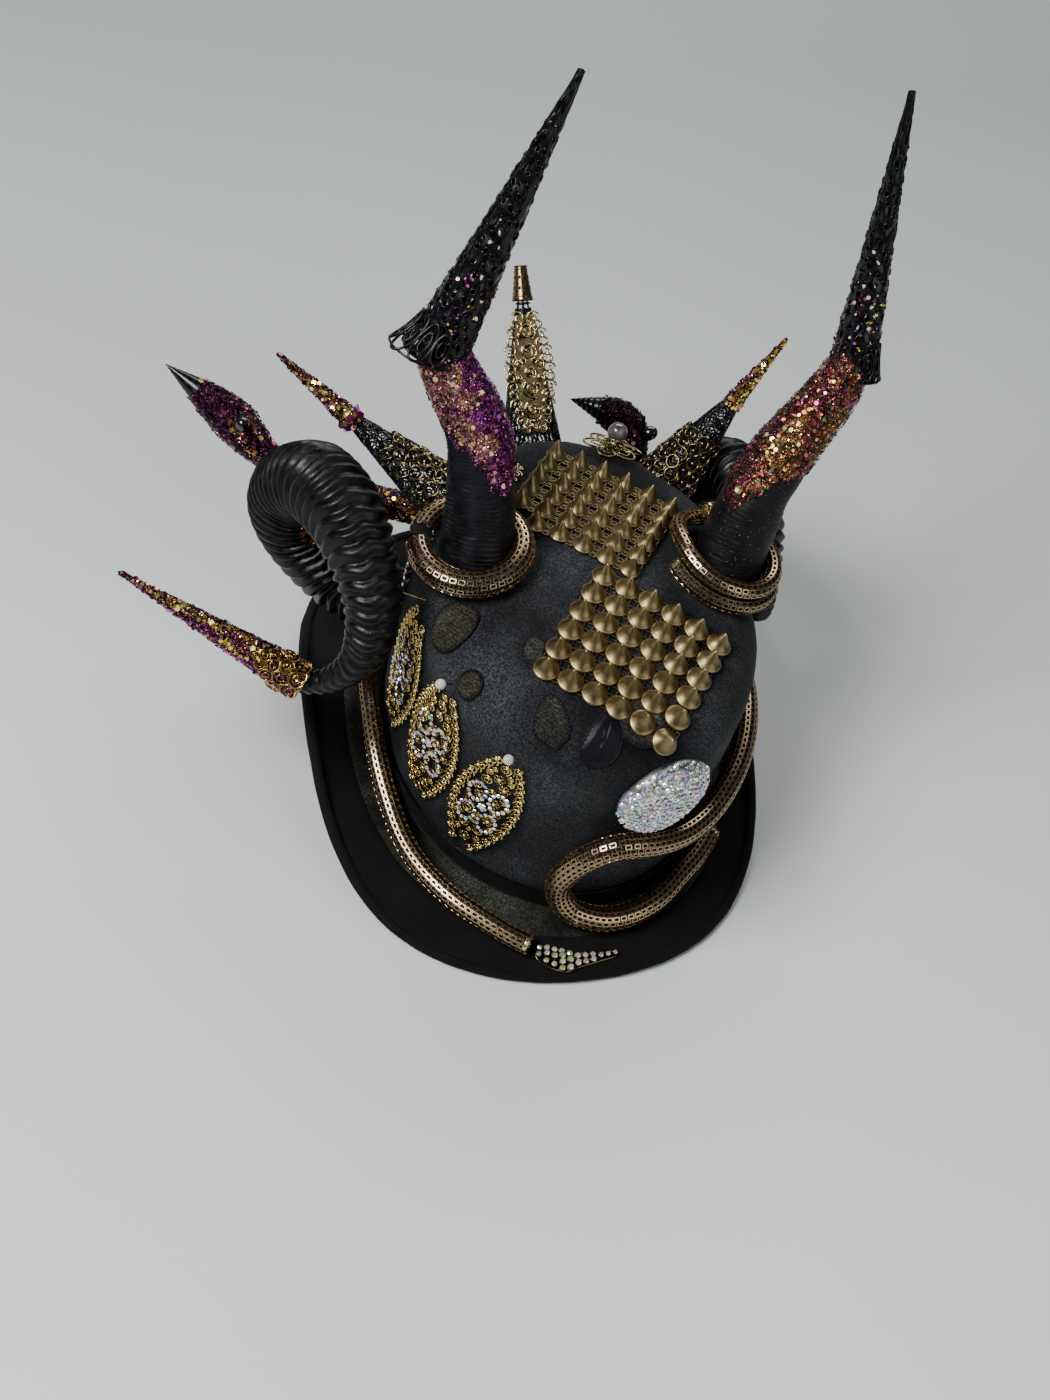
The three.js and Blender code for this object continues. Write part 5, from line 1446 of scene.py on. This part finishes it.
# Spikes: foot and tip, the share that is metal, its radii, the glitter tip's radius and lean towards gold,
# and where the jump rings sit.
SPIKES = {
    "left": {"foot": (-59, 59, 105), "tip": (-144.9, 105.4, 153.7), "metal": 0.55, "radius": 14.5,
             "neck": 3.6, "flare": 1.0, "cap": 5.6, "gold": -0.2, "panel_turn": 0.02},
    "right": {"foot": (49, 74.8, 102.5), "tip": (99.2, 103.9, 183.6), "metal": 0.57, "radius": 15,
              "neck": 3.8, "flare": 0.9, "cap": 5.0, "gold": 0.1, "panel_turn": 0.57},
    "centre": {"foot": (-8.4, 99, 89.6), "tip": (-19.9, 169.7, 160.8), "metal": 0.83, "radius": 16.5,
               "neck": 3.0, "flare": 1.0},
}


def spike_place(row, share):
    """A place on a spike's axis at a share of its length."""
    return row["foot"] + np.subtract(row["tip"], row["foot"]) * share


def spike_surface(row):
    """The map on a spike's metal, its length and its radius as a function of v."""
    def radius_at(v, u):
        return row["neck"] + (row["radius"] - row["neck"]) * np.clip(1 - v, 0, 1)**row["flare"]

    neck = spike_place(row, row["metal"])
    return cone_surface(row["foot"], neck, radius_at), np.linalg.norm(neck - row["foot"]), radius_at


def filigree_spike(side):
    """A black lattice: fine rings in staggered rows between twisted ribs."""
    at, length, radius_at = spike_surface(SPIKES[side])
    mesh = Mesh()
    phase, spoke = once_round(12), np.linspace(0.52, 0.98, 2)
    v, number = 0.0, 0
    while v < 0.93:
        around = girth_at(radius_at, v)
        count = max(6, int(around / 6.6))
        size = around / count / 2
        centre = v + size / length
        for k in range(count):
            u = (k + 0.5 * (number % 2)) / count
            for inner, wire in ((1.0, 0.6), (0.5, 0.46)):
                loop_v = centre + inner * size * 1.02 * np.cos(phase) / length
                loop_u = u + inner * size * 0.98 * np.sin(phase) / around
                loop = at(np.clip(loop_v, 0, 1), loop_u, 0.1 + 0.25 * (1 - inner))
                mesh.wire(loop, wire, 4, "lacquer", closed=True)
            for angle in (0.4, 2.5, 4.4):
                mesh.wire(at(np.clip(centre + spoke * size * math.cos(angle) / length, 0, 1),
                             u + spoke * size * math.sin(angle) / around, 0.1), 0.27, 3, "lacquer")
        v += 1.72 * size / length
        number += 1
    rib = np.linspace(0, 1, 30)
    for k in range(6):
        mesh.wire(at(rib, k / 6 + 0.22 * rib, -0.5), 0.4, 4, "lacquer")
    for place, wire in ((0.0, 0.55), (0.985, 0.6)):
        mesh.wire(at(place, once_round(40, 1)), wire, 6, "lacquer", closed=True)
    name = "centre_spike" if side == "centre" else f"spike_metal_{side}"
    mesh.piece(f"filigree_{name}", [name], "black_filigree")


def spike_tip(side):
    row = SPIKES[side]
    cone = straight_tube(spike_place(row, row["metal"]), row["tip"], (row["cap"], 0.8), 160)
    mesh = Mesh()
    glitter_cone(mesh, cone, 111, 0.25)
    zones = (["pink_flakes", "gilt_flakes"], blended_zones([0.1, -0.55, 0.35], 112, row["gold"], 0.3))
    glitter_coat(mesh, cone, 0.0, 0.97, zones, 2.2, 0.11, -0.1, 113)
    if side == "left":
        turn, share = 2 * once_round(18), np.repeat([0.03, 0.09], 9)
        places, normals = cone.point(share, turn, 0.7), cone.outward(share, turn)
        scatter(mesh, places, normals, 1.7, 0.5, "pink_flakes", 0.2, 119)
    mesh.piece(f"glitter_spike_tip_{side}", [f"spike_glitter_{side}"], "glitter")


JUMP_RING = 3.7  # radius


def ring_cluster(side):
    """Overlapping gold jump rings sewn to the visible side of a spike."""
    row = SPIKES[side]
    at, length, radius_at = spike_surface(row)
    source = np.random.default_rng(121)
    mesh = Mesh()
    v, number = 0.16, 0
    while v < 0.69:
        around = girth_at(radius_at, v)
        count = max(2, int(around * 0.5 / 5.9))
        for k in range(count):
            u = row["panel_turn"] + ((k + 0.5 * (number % 2) + 0.25) / count - 0.5) * 0.5
            size = JUMP_RING * (0.84 if around < 50 else 0.97) * source.uniform(0.92, 1.04)
            seat = at(v, u, 1.55 + 0.35 * (k % 2))
            outward = unit(at(v, u, 3.0) - seat)
            along = unit(at(v + 0.02, u, 2.0) - at(v - 0.02, u, 2.0))
            along = unit(along + 0.12 * source.normal() * outward)
            across = unit(np.cross(outward, along))
            outward = np.cross(along, across)
            ring = circle(size - 0.3, 16)
            mesh.wire(seat + ring[:, :1] * along + ring[:, 1:2] * across, 0.66, 5, "old_gold", closed=True)
            axes = (along[None], across[None], outward[None])
            mesh.stamp(BALL, (seat - outward * 0.5)[None], *axes, "old_gold", 0.7)
        v += 5.2 / length
        number += 1
    mesh.piece(f"jump_rings_{side}", [f"spike_rings_{side}"], "gold_filigree")


PLATE = {"half_width": 10.5, "from": 0.2, "to": 0.95, "turn": 0.75}


def centre_plate():
    row = SPIKES["centre"]
    at_cone, length, _ = spike_surface(row)
    middle = (PLATE["from"] + PLATE["to"]) / 2
    half = (PLATE["to"] - PLATE["from"]) / 2 * length
    tall = 2 * half * 0.92
    facing = unit(at_cone(middle, PLATE["turn"], 1.0) - at_cone(middle, PLATE["turn"], 0.0))
    across = unit(np.cross(cone_axes(row["foot"], row["tip"])[0], facing))

    def at(x, y, out=0.0):
        x, y, out = arrays(x, y, out)
        spine = at_cone(middle + y / length, PLATE["turn"], 0.4)
        return spine + facing * (out + 0.1)[..., None] + across * x[..., None]

    def width(v):
        bulge = np.sin(math.pi * np.clip(0.08 + 0.84 * v, 0, 1))**0.7
        return 2 * 0.74 * PLATE["half_width"] * (0.25 + 0.75 * bulge)

    def sheet(v, u, out):
        return at((u - 0.5) * width(v), (v - 0.5) * tall, out + 0.5)

    holes = []
    for k, v in enumerate(np.linspace(0.08, 0.92, 9)):
        if k % 2:
            holes += [(v, 0.3, 1.9, 1.5, 0.35), (v, 0.7, 1.9, 1.5, -0.35)]
        else:
            holes.append((v, 0.5, 1.9, 2.1, -0.35))
    mesh = Mesh()
    pierced(mesh, sheet, 84, 32, holes, "pale_gold", lambda v: (tall, width(v)), 0.4, 0.5, wrap=False)
    filigree_leaf(mesh, at, half, PLATE["half_width"], 0.62, "pale_gold", 131, 1.35)
    mesh.piece("centre_plate_filigree", ["centre_plate"], "gold_filigree")


def blossom(mesh, at, x, y, size, material, petals, lift):
    """A pressed flower: petals as closed loops round a bead."""
    phase = once_round(14)
    long, wide = size * 0.5 * (1 + 0.96 * np.cos(phase)), size * 0.36 * np.sin(phase)
    for k in range(petals):
        turn = TAU * k / petals + 0.3
        dx = long * math.cos(turn) - wide * math.sin(turn)
        dy = long * math.sin(turn) + wide * math.cos(turn)
        mesh.wire(at(x + dx, y + dy, lift), 0.36, 5, material, closed=True)
    mesh.ball(at(x, y, lift + 0.2), material, size * 0.27)


BELL_RADII = (5.2, 3.0)


def bell():
    """A small bronze bell pierced in rows, with scalloped loops round its mouth."""
    def radius_at(v, u):
        return BELL_RADII[0] + (BELL_RADII[1] - BELL_RADII[0]) * v**0.85

    row = SPIKES["centre"]
    start = spike_place(row, row["metal"] + 0.004)
    length = np.linalg.norm(row["tip"] - start)
    at = cone_surface(start, row["tip"], radius_at)
    holes = []
    for k, v in enumerate(np.linspace(0.2, 0.82, 5)):
        for i in range(8):
            holes.append((v, (i + 0.5 * (k % 2)) / 8, 0.75 if k % 2 else 0.55, 0.5, 0.0))
    mesh = Mesh()
    pierced(mesh, at, 44, 48, holes, "dark_bronze", lambda v: (length, girth_at(radius_at, v)), 0.7, 0.17)
    for v, wire in ((0.0, 0.4), (0.1, 0.25), (0.9, 0.25), (0.985, 0.4)):
        mesh.wire(at(v, once_round(40, 1), 0.05), wire, 6, "dark_bronze", closed=True)
    turn = once_round(12)
    for k in range(8):
        scallop = at(np.clip(0.035 + 0.05 * np.cos(turn), -0.03, 1), k / 8 + 0.05 * np.sin(turn), 0.1)
        mesh.wire(scallop, 0.26, 5, "dark_bronze", closed=True)
    lid = at(0.97, once_round(24, 1), -0.3)
    wedges = np.array([[i, (i + 1) % 24, 24] for i in range(24)])
    mesh.add(np.vstack([lid, lid.mean(0)]), wedges, "dark_bronze")
    mesh.piece("bronze_bell", ["centre_bell"], "bronze_mesh")


# ------------------------------------------------------------------ studs

STUD_FIELDS = {
    "upper": {"x": 2.3, "y": 36.9, "pitch": (12.2, 10.1), "missing": (0, 5), "lean": 0.0},
    "lower": {"x": 7.5, "y": -48.2, "pitch": (12.1, 12.1), "missing": None, "lean": 0.3},
}
FIELD_CELLS = 6  # rows and columns of a field
STUD_TURN = math.radians(-34.5)
STUD = [(4.9, 0.2), (5.3, 0.45), (5.3, 0.95), (4.85, 1.35), (4.45, 1.5), (2.4, 5.3), (0.62, 9.0), (0.3, 9.4),
        (0.0, 9.5)]
STUD_PITCH = 10.5  # the pitch at which a stud has the radii above


def field_place(row, i, j):
    """Plan position at column i and row j of a field, counted in cells from its left upper corner."""
    across = (i - FIELD_CELLS / 2) * row["pitch"][0]
    along = (FIELD_CELLS / 2 - j) * row["pitch"][1]
    cos, sin = math.cos(STUD_TURN), math.sin(STUD_TURN)
    return row["x"] + across * cos - along * sin, row["y"] + across * sin + along * cos


def stud_field(name):
    row = STUD_FIELDS[name]
    source = np.random.default_rng(141)
    cells = [(i, j) for j in range(FIELD_CELLS) for i in range(FIELD_CELLS) if (i, j) != row["missing"]]
    plan = np.array([field_place(row, i + 0.5, j + 0.5) for i, j in cells])
    seats, _, north, up = over_frame(plan[:, 0], plan[:, 1])
    up = unit(up + [0, 0, row["lean"]] + 0.02 * source.normal(size=up.shape))
    size = min(row["pitch"]) / STUD_PITCH
    first = unit(np.cross(north, up))
    verts, faces = turned(STUD, 24)
    mesh = Mesh()
    mesh.stamp((verts * [size, size, 1.0], faces), seats + up * SEAT, first, np.cross(up, first), up, "brass")
    links = []
    for i, j in cells:
        for di, dj in ((1, 0), (0, 1)):
            if (i + di, j + dj) in cells:
                cross = STUD_TURN + (0 if di else math.pi / 2)
                for slide in (-0.26, 0.0, 0.26):
                    place = field_place(row, i + 0.5 + di * 0.5 + dj * slide, j + 0.5 + dj * 0.5 + di * slide)
                    links.append((*place, math.cos(cross), math.sin(cross)))
    x, y, cos, sin = np.array(links).T
    seats, east, north, up = over_frame(x, y)
    along = east * cos[:, None] + north * sin[:, None]
    seats = seats + up * (SEAT + 0.6)
    # The links between the studs take the darker brass copy, painted shade.
    mesh.stamp(STUD_LINK, seats, along, np.cross(up, along), up, "brass_painted_shade", smooth=False)
    mesh.piece(f"stud_field_{name}", [f"studs_{name}"], "antique_brass")


# ------------------------------------------------------------------ pebble, flower, pearl and scroll

PEBBLE = {"angle": 15.5, "height": 88.2, "half_width": 25.5, "half_height": 22.8, "thick": 9.0}


def packed_spots(half_width, half_height, smallest, largest, tries, seed):
    """Circles packed by dart throwing in an ellipse, the largest first."""
    source = np.random.default_rng(seed)
    spots = np.zeros((0, 3))
    for size in np.linspace(largest, smallest, 6):
        for _ in range(tries):
            radius, turn = math.sqrt(source.uniform()), source.uniform(0, TAU)
            x, y = half_width * radius * math.cos(turn), half_height * radius * math.sin(turn)
            apart = np.hypot(spots[:, 0] - x, spots[:, 1] - y)
            if np.all(apart >= (spots[:, 2] + size) * 0.86):
                spots = np.vstack([spots, (x, y, size)])
    return spots


def pebble():
    """A domed piece of resin set all over with cut stones of several sizes."""
    wide, tall = PEBBLE["half_width"], PEBBLE["half_height"]

    def at(x, y, out=0.0):
        share = np.clip(np.hypot(x / wide, y / tall), 0, 1)
        dome = PEBBLE["thick"] * np.sqrt(1 - share**4) * 0.9
        return crown(PEBBLE["angle"] + x / MM_PER_DEGREE, PEBBLE["height"] + y, SEAT + dome + out - 0.6)

    mesh = Mesh()
    share, turn = skin_grid(np.sin(np.linspace(0.001, math.pi / 2, 16)), 56)
    mesh.grid(at(share * wide * np.cos(turn), share * tall * np.sin(turn)), "foil", wrap_v=True)
    x, y, size = packed_spots(wide - 0.4, tall - 0.4, 0.6, 1.5, 3200, 151).T
    right = unit(at(x + 0.4, y) - at(x - 0.4, y))
    up = unit(at(x, y + 0.4) - at(x, y - 0.4))
    outward = unit(np.cross(right, up))
    source = np.random.default_rng(152)
    spin = source.uniform(0, TAU, len(x))[:, None]
    outward = unit(outward + 0.22 * source.normal(size=outward.shape))
    first = unit(np.cross(np.cross(outward, right * np.cos(spin) + up * np.sin(spin)), outward))
    mesh.stamp(STONE, at(x, y, 0.15), first, np.cross(outward, first), outward, "crystal", size, smooth=False)
    mesh.piece("pebble_of_crystals", ["crystal_pebble"], "crystal")


def over_map(x0, y0, turn, rise=0.0, half_long=1.0):
    """mm across and along a direction of the plan about a place on the crown's top."""
    sin, cos = sin_cos(turn)

    def at(x, y, out=0.0):
        x, y, out = arrays(x, y, out)
        lift = 0.9 + out + rise * (y / half_long + 1) / 2
        return over_crown(x0 + x * cos - y * sin, y0 + x * sin + y * cos, lift)
    return at


FLOWER = {"x": 22, "y": 84, "half_wide": 15, "half_long": 9, "turn": -14, "rise": 5}
PEARL_RADIUS = 4.8
PEARL_LIFT = 4.8  # from the cloth's seat to the foot of the pearl


def flower_and_pearl():
    at = over_map(FLOWER["x"], FLOWER["y"], FLOWER["turn"], FLOWER["rise"], FLOWER["half_long"])
    mesh = Mesh()
    phase = once_round(30)
    for k in range(6):
        turn = TAU * k / 6 + 0.2
        for scale, wire in ((1.0, 0.6), (0.5, 0.42)):
            long = 6.8 + 6.2 * scale * np.cos(phase)
            wide = 4.6 * scale * np.sin(phase)
            x = (long * math.cos(turn) - wide * math.sin(turn)) * FLOWER["half_wide"] / 13
            y = (long * math.sin(turn) + wide * math.cos(turn)) * FLOWER["half_long"] / 13
            mesh.wire(at(x, y, 0.3 + 0.5 * (1 - scale)), wire, 6, "old_gold", closed=True)
    blossom(mesh, at, 0, 0, 5.6, "old_gold", 8, 1.0)
    mesh.piece("bronze_flower", ["pearl_flower"], "bronze_mesh")
    bead = Mesh()
    seat, *axes = over_frame(np.array([FLOWER["x"]]), np.array([FLOWER["y"]]))
    place = seat + axes[2] * (SEAT + PEARL_LIFT + PEARL_RADIUS)
    bead.stamp(globe(33, 48), place, *axes, "grey_pearl", PEARL_RADIUS)
    claw = turned([(0.5, -1.06), (0.72, -0.9), (0.84, -0.68), (0.8, -0.66), (0.6, -0.84)], 20)
    bead.stamp(claw, place, *axes, "old_gold", PEARL_RADIUS)
    bead.piece("pearl_bead", ["pearl"], "pearl_bead")


def scroll():
    at = over_map(-33, 62, -35)
    mesh = Mesh()
    for hand in (-1, 1):
        for y, size in ((-4.2, 4.6), (0.6, 5.2), (5.0, 3.6)):
            dx, dy = curl(size, 1.35, 0 if hand > 0 else math.pi, hand)
            mesh.wire(at(hand * size * 0.5 + dx, y + dy, 0.4), 0.42, 6, "old_gold")
    mesh.wire(at(0.0, np.linspace(-7.6, 7.6, 20), 0.4), 0.5, 6, "old_gold")
    mesh.piece("gold_scroll_filigree", ["gold_scroll"], "gold_filigree")


BARS = {"angle": -108, "height": 96}


def bars_and_crystals():
    at = wall_map(BARS["angle"], BARS["height"])
    mesh = Mesh()
    y = np.linspace(-14.2, 14.2, 24)
    for k in range(6):
        x = -7.2 + k * 1.75 + 0.5 * np.sin(y / 9 + k)
        mesh.wire(at(x, y, 0.9 + 0.5 * np.sin(y / 7 + k * 0.8)), 0.55, 7, "old_gold")
    for k in range(6):
        y = -12.4 + k * 5.0
        here = at(4.6, y, 1.3)
        outward = unit(at(4.6, y, 2.3) - here)
        mesh.one(STONE, here, outward, (0, 0, 1), "crystal", 2.3, smooth=False)
        mesh.one(RIM, here, outward, (0, 0, 1), "old_gold", 2.5)
    for y in (-14.4, 14.4):
        mesh.wire(at(np.linspace(-7.6, 7.4, 20), y, 0.9), 0.5, 6, "old_gold")
    mesh.piece("bars_and_crystals", ["crystal_brooch"], "gold_filigree")


# ------------------------------------------------------------------ chains, leaf of crystals and pins

# Places along the chains: angle, distance beyond the wall and, where it doesn't lie on the brim, height.
CHAIN_LEFT = [(-118, 9), (-103, 9.2), (-86, 9), (-68, 11.5), (-53, 15.5), (-39, 19.5), (-26, 22), (-14, 26.5)]
CHAIN_RIGHT = [(112, 7, 52), (93, 7, 56.5), (75, 7, 58), (62, 7, 57.5), (50, 7, 56), (39, 7, 53.5),
               (27, 7.1, 55), (14.5, 7.4, 60), (4, 7.4, 62.5), (-4, 7.4, 54), (-9.3, 7.6, 37),
               (-9, 7.8, 23.5), (-4, 9, 11.5), (5, 11.7), (13.5, 13), (24, 11.7), (35, 8.9), (46, 8.9),
               (54, 8.9)]


def chain_path(rows, radius):
    guide = []
    for angle, out, *height in rows:
        lying = brim_over(angle, out)[2] + radius + 0.9
        guide.append((angle, out, *(height or [lying])))
    fine = uniform_spline(guide, len(rows) * 4 + 1)
    return spline(crownless(*fine.T), 400)[0]


def uniform_spline(rows, count):
    """Curve through rows of numbers at even steps between them."""
    rows = np.asarray(rows, float)
    padded = np.vstack([2 * rows[0] - rows[1], rows, 2 * rows[-1] - rows[-2]])
    at = np.linspace(0, len(rows) - 1, count)
    i = np.minimum(at.astype(int), len(rows) - 2)
    t = (at - i)[:, None]
    p0, p1, p2, p3 = (padded[i + k] for k in range(4))
    return 0.5 * (2 * p1 + (p2 - p0) * t + (2 * p0 - 5 * p1 + 4 * p2 - p3) * t**2
                  + (3 * p1 - p0 - 3 * p2 + p3) * t**3)


def woven_chain(side, rows, radius, seed):
    path = chain_path(rows, radius)
    mesh = Mesh()
    woven_tube(mesh, path, radius, seed)
    end_caps(mesh, path, 5, 2.4, radius, "old_gold")
    mesh.piece(f"woven_chain_{side}", [f"chain_{side}"], "bronze_mesh")


# The leaf on the left chain's end: angle, its near and far distance beyond the wall, and its thickness.
CHAIN_END = [(-11.3, 23.5, 29.5, 4.5), (-8, 22.5, 33, 4.5), (-4, 24, 35, 4), (-1, 25.5, 32, 3.5),
             (4.5, 25.5, 29.5, 3), (9, 26.2, 28, 2.4)]


def crystal_leaf():
    """A small leaf of stones that ends the left chain, lying on the brim."""
    mesh = Mesh()
    angles, *columns = np.array(CHAIN_END).T
    source = np.random.default_rng(161)
    for angle in np.linspace(-11, 8.7, 11):
        near, far, thick = (np.interp(angle, angles, column) for column in columns)
        count = max(1, int(round((far - near) / 3.1)))
        for k in range(count):
            share = (k + 0.5) / count
            lift = 0.7 + thick * 0.55 * math.sin(math.pi * share)
            here = brim_over(angle, near + (far - near) * share) + [0, 0, lift + 0.6]
            outward = unit([0.1 * source.normal() - 0.1, -0.25 + 0.1 * source.normal(), 1.0])
            size = 1.55 * (1 - 0.3 * abs(angle + 3) / 12)
            mesh.one(STONE, here, outward, (0, 1, 0), "crystal", size, smooth=False)
            mesh.one(RIM, here - outward * 0.15, outward, (0, 1, 0), "old_gold", size * 1.08)
    near, far, _ = columns
    path = brim_over(np.append(angles, angles[::-1]), np.append(near, far[::-1])) + [0, 0, 0.95]
    outline, _ = spline(np.vstack([path, path[:1]]), 90)
    mesh.wire(outline[:-1], 0.5, 6, "old_gold", closed=True)
    mesh.piece("leaf_of_crystals", ["chain_end"], "crystal")


# Pins: angle, height up the cloth, direction and length.
PINS = [(-87, 110.5, (-0.95, 0.2, 0.22), 17), (-61, 105, (-0.7, -0.45, 0.55), 8),
        (-35.5, 98.5, (-0.4, -0.7, 0.6), 8)]
PIN_HEAD = 2.5


def pearl_pins():
    for number, (angle, height, lean, length) in enumerate(PINS, 1):
        mesh = Mesh()
        direction = unit(lean)
        foot = crown(angle, height, 0.1)
        mesh.wire(foot + direction * np.linspace(0, length + 0.6, 12)[:, None], 0.38, 10, "old_gold")
        head = foot + direction * (length + PIN_HEAD)
        mesh.one(globe(25, 32), head, direction, (0, 0, 1), "pearl", PIN_HEAD - 0.05)
        mesh.piece(f"pearl_pin_{number}", [f"pin_{number}"], "pearl_bead")


# ------------------------------------------------------------------ cloth patches

PATCH_LIFT = 0.9


def patch(name, angle, along, half_wide, half_tall, turn, material, shape=1.0, pucker=0.25):
    """A sewn-on patch: a slightly quilted cloth shape with a whip-stitched edge."""
    reach = np.linalg.norm(crown(angle + 0.5, along) - crown(angle - 0.5, along))
    sin, cos = sin_cos(turn)

    def uneven(phase):
        return 1 + 0.075 * ripple(173 + int(abs(angle)), np.sin(phase) * 0.8, np.cos(phase) * 0.8)

    even = np.sqrt(np.mean(uneven(once_round(200))**2))

    def at(r, phase, out):
        r = r * uneven(phase) / even
        pointed = 1 - (1 - shape) * np.abs(np.sin(phase))**3
        x = half_wide * r * np.cos(phase) * pointed
        y = half_tall * r * np.sin(phase)
        return crown(angle + (x * cos - y * sin) / reach, along + x * sin + y * cos, out)

    radius, phase = skin_grid(np.linspace(0.02, 1.0, 14), 72)
    puff = PATCH_LIFT * (1 - radius**6) * (1 + pucker * wound_ripple(171, radius * 2, phase))
    cloth = Mesh()
    cloth.grid(at(radius, phase, 0.1 + puff), material, wrap_v=True)
    piece = cloth.piece(f"patch_{name}", slot="crown_cloth")
    trim = Mesh()
    rim = once_round(120)
    trim.wire(at(0.985, rim, 0.25 + 0.1 * np.sin(rim * 40)), 0.42, 4, "thread", closed=True)
    seat = at(0.93, rim[::3], 0.55 + PATCH_LIFT * 0.3)
    inward = unit(at(0.6, rim[::3], 0.5) - seat)
    outward = unit(at(0.93, rim[::3], 2.0) - seat)
    stitches(trim, seat, unit(np.cross(np.cross(outward, inward), outward)), outward)
    thread = trim.piece(f"patch_{name}_thread", slot="crown_cloth")


# Patches: name, angle, place up the cloth, half width and height, turn, cloth, how pointed, how puckered.
PATCHES = [
    ("oval", -74.4, 119.3, 10.5, 13.5, 10, "olive"),
    ("small_oval", -56.5, 111.5, 6, 7.5, -8, "olive"),
    ("leaf", -28.5, 122.3, 8.5, 12, 25, "slate", 0.7),
    ("dot", -47.8, 143.9, 6, 6, 0, "slate"),
    ("satin_leaf", -9.6, 122.5, 8, 15, -20, "navy", 0.7),
    ("large_oval", 4.1, 132.5, 12, 13, 0, "slate", 1.0, 0.5),
]


# ------------------------------------------------------------------ studio

def placed(offset):
    return Vector((ORIGIN + AIM + offset) * MM)


def camera():
    data = bpy.data.cameras.new("camera")
    data.lens = 51.43
    data.sensor_width = 36
    data.shift_x, data.shift_y = -0.0309, -0.0281
    data.clip_start, data.clip_end = 0.05, 20
    view = bpy.data.objects.new("camera", data)
    view.matrix_world = Matrix(np.column_stack([RIGHT, UP, BACK]).tolist()).to_4x4()
    view.location = placed(DISTANCE * BACK)
    bpy.context.scene.collection.objects.link(view)
    bpy.context.scene.camera = view


def area_light(name, offset, size, watts):
    data = bpy.data.lights.new(name, "AREA")
    data.shape = "RECTANGLE"
    data.size, data.size_y = size
    data.energy = watts
    light = bpy.data.objects.new(name, data)
    light.location = placed(offset)
    light.rotation_euler = (-Vector(offset)).to_track_quat("-Z", "Y").to_euler()
    bpy.context.scene.collection.objects.link(light)


FLOOR_REACH = 6.0  # m


def studio():
    mesh = bpy.data.meshes.new("floor")
    corners = [(x, y, 0.0) for y in (-FLOOR_REACH, FLOOR_REACH) for x in (-FLOOR_REACH, FLOOR_REACH)]
    mesh.from_pydata(corners, [], [(0, 1, 3, 2)])
    shader = Shader("painted_falloff_paper_floor", Roughness=0.9, Specular_IOR_Level=0.2)
    spot = shader.tree.nodes.new("ShaderNodeSeparateXYZ")
    shader.link(shader.coords, spot.inputs["Vector"])
    # Painted light: the paper is lighter in front and darker towards the back, a painted falloff of the
    # lamps' light.
    painted_falloff_share = shader.math("ADD", shader.math("MULTIPLY", spot.outputs["Y"], 0.6), 0.5)
    painted_falloff_paper = shader.ramp(painted_falloff_share, [(0.15, (0.84, 0.87, 0.86)), (0.85, (0.36, 0.385, 0.39))])
    mottle = shader.ramp(shader.noise(2.2, 3), [(0.3, 0.94), (0.7, 1.0)])
    shader.into(Base_Color=shader.mix(1.0, painted_falloff_paper, mottle, "MULTIPLY"))
    shader.bump(shader.noise(900, 2), 0.05, 0.15)
    mesh.materials.append(shader.material)
    floor = bpy.data.objects.new("floor", mesh)
    bpy.context.scene.collection.objects.link(floor)
    world = bpy.data.worlds.new("studio")
    world.use_nodes = True
    sky = world.node_tree.nodes["Background"]
    sky.inputs["Color"].default_value = (0.86, 0.9, 0.92, 1)
    sky.inputs["Strength"].default_value = 0.09
    bpy.context.scene.world = world
    area_light("key", np.array([-950, -250, 1250.0]), (0.7, 0.5), 34)
    area_light("fill", np.array([800, -1100, 900.0]), (1.2, 0.9), 7)
    area_light("back", np.array([350, 1300, 1000.0]), (1.4, 0.7), 17)


camera()
studio()
crown_piece()
brim_piece()
hat_band()
for side in ("left", "right"):
    tall_horn(side)
    horn_cap(side)
    horn_ring(side)
    ram_horn(side)
    back_horn(side)
    filigree_spike(side)
    spike_tip(side)
    ring_cluster(side)
ram_tip()
filigree_spike("centre")
centre_plate()
bell()
for name in STUD_FIELDS:
    stud_field(name)
for number, row in enumerate(BROOCHES, 1):
    brooch(number, row)
pebble()
flower_and_pearl()
scroll()
bars_and_crystals()
woven_chain("left", CHAIN_LEFT, 5.0, 181)
woven_chain("right", CHAIN_RIGHT, 6.2, 182)
crystal_leaf()
pearl_pins()
for row in PATCHES:
    patch(*row)
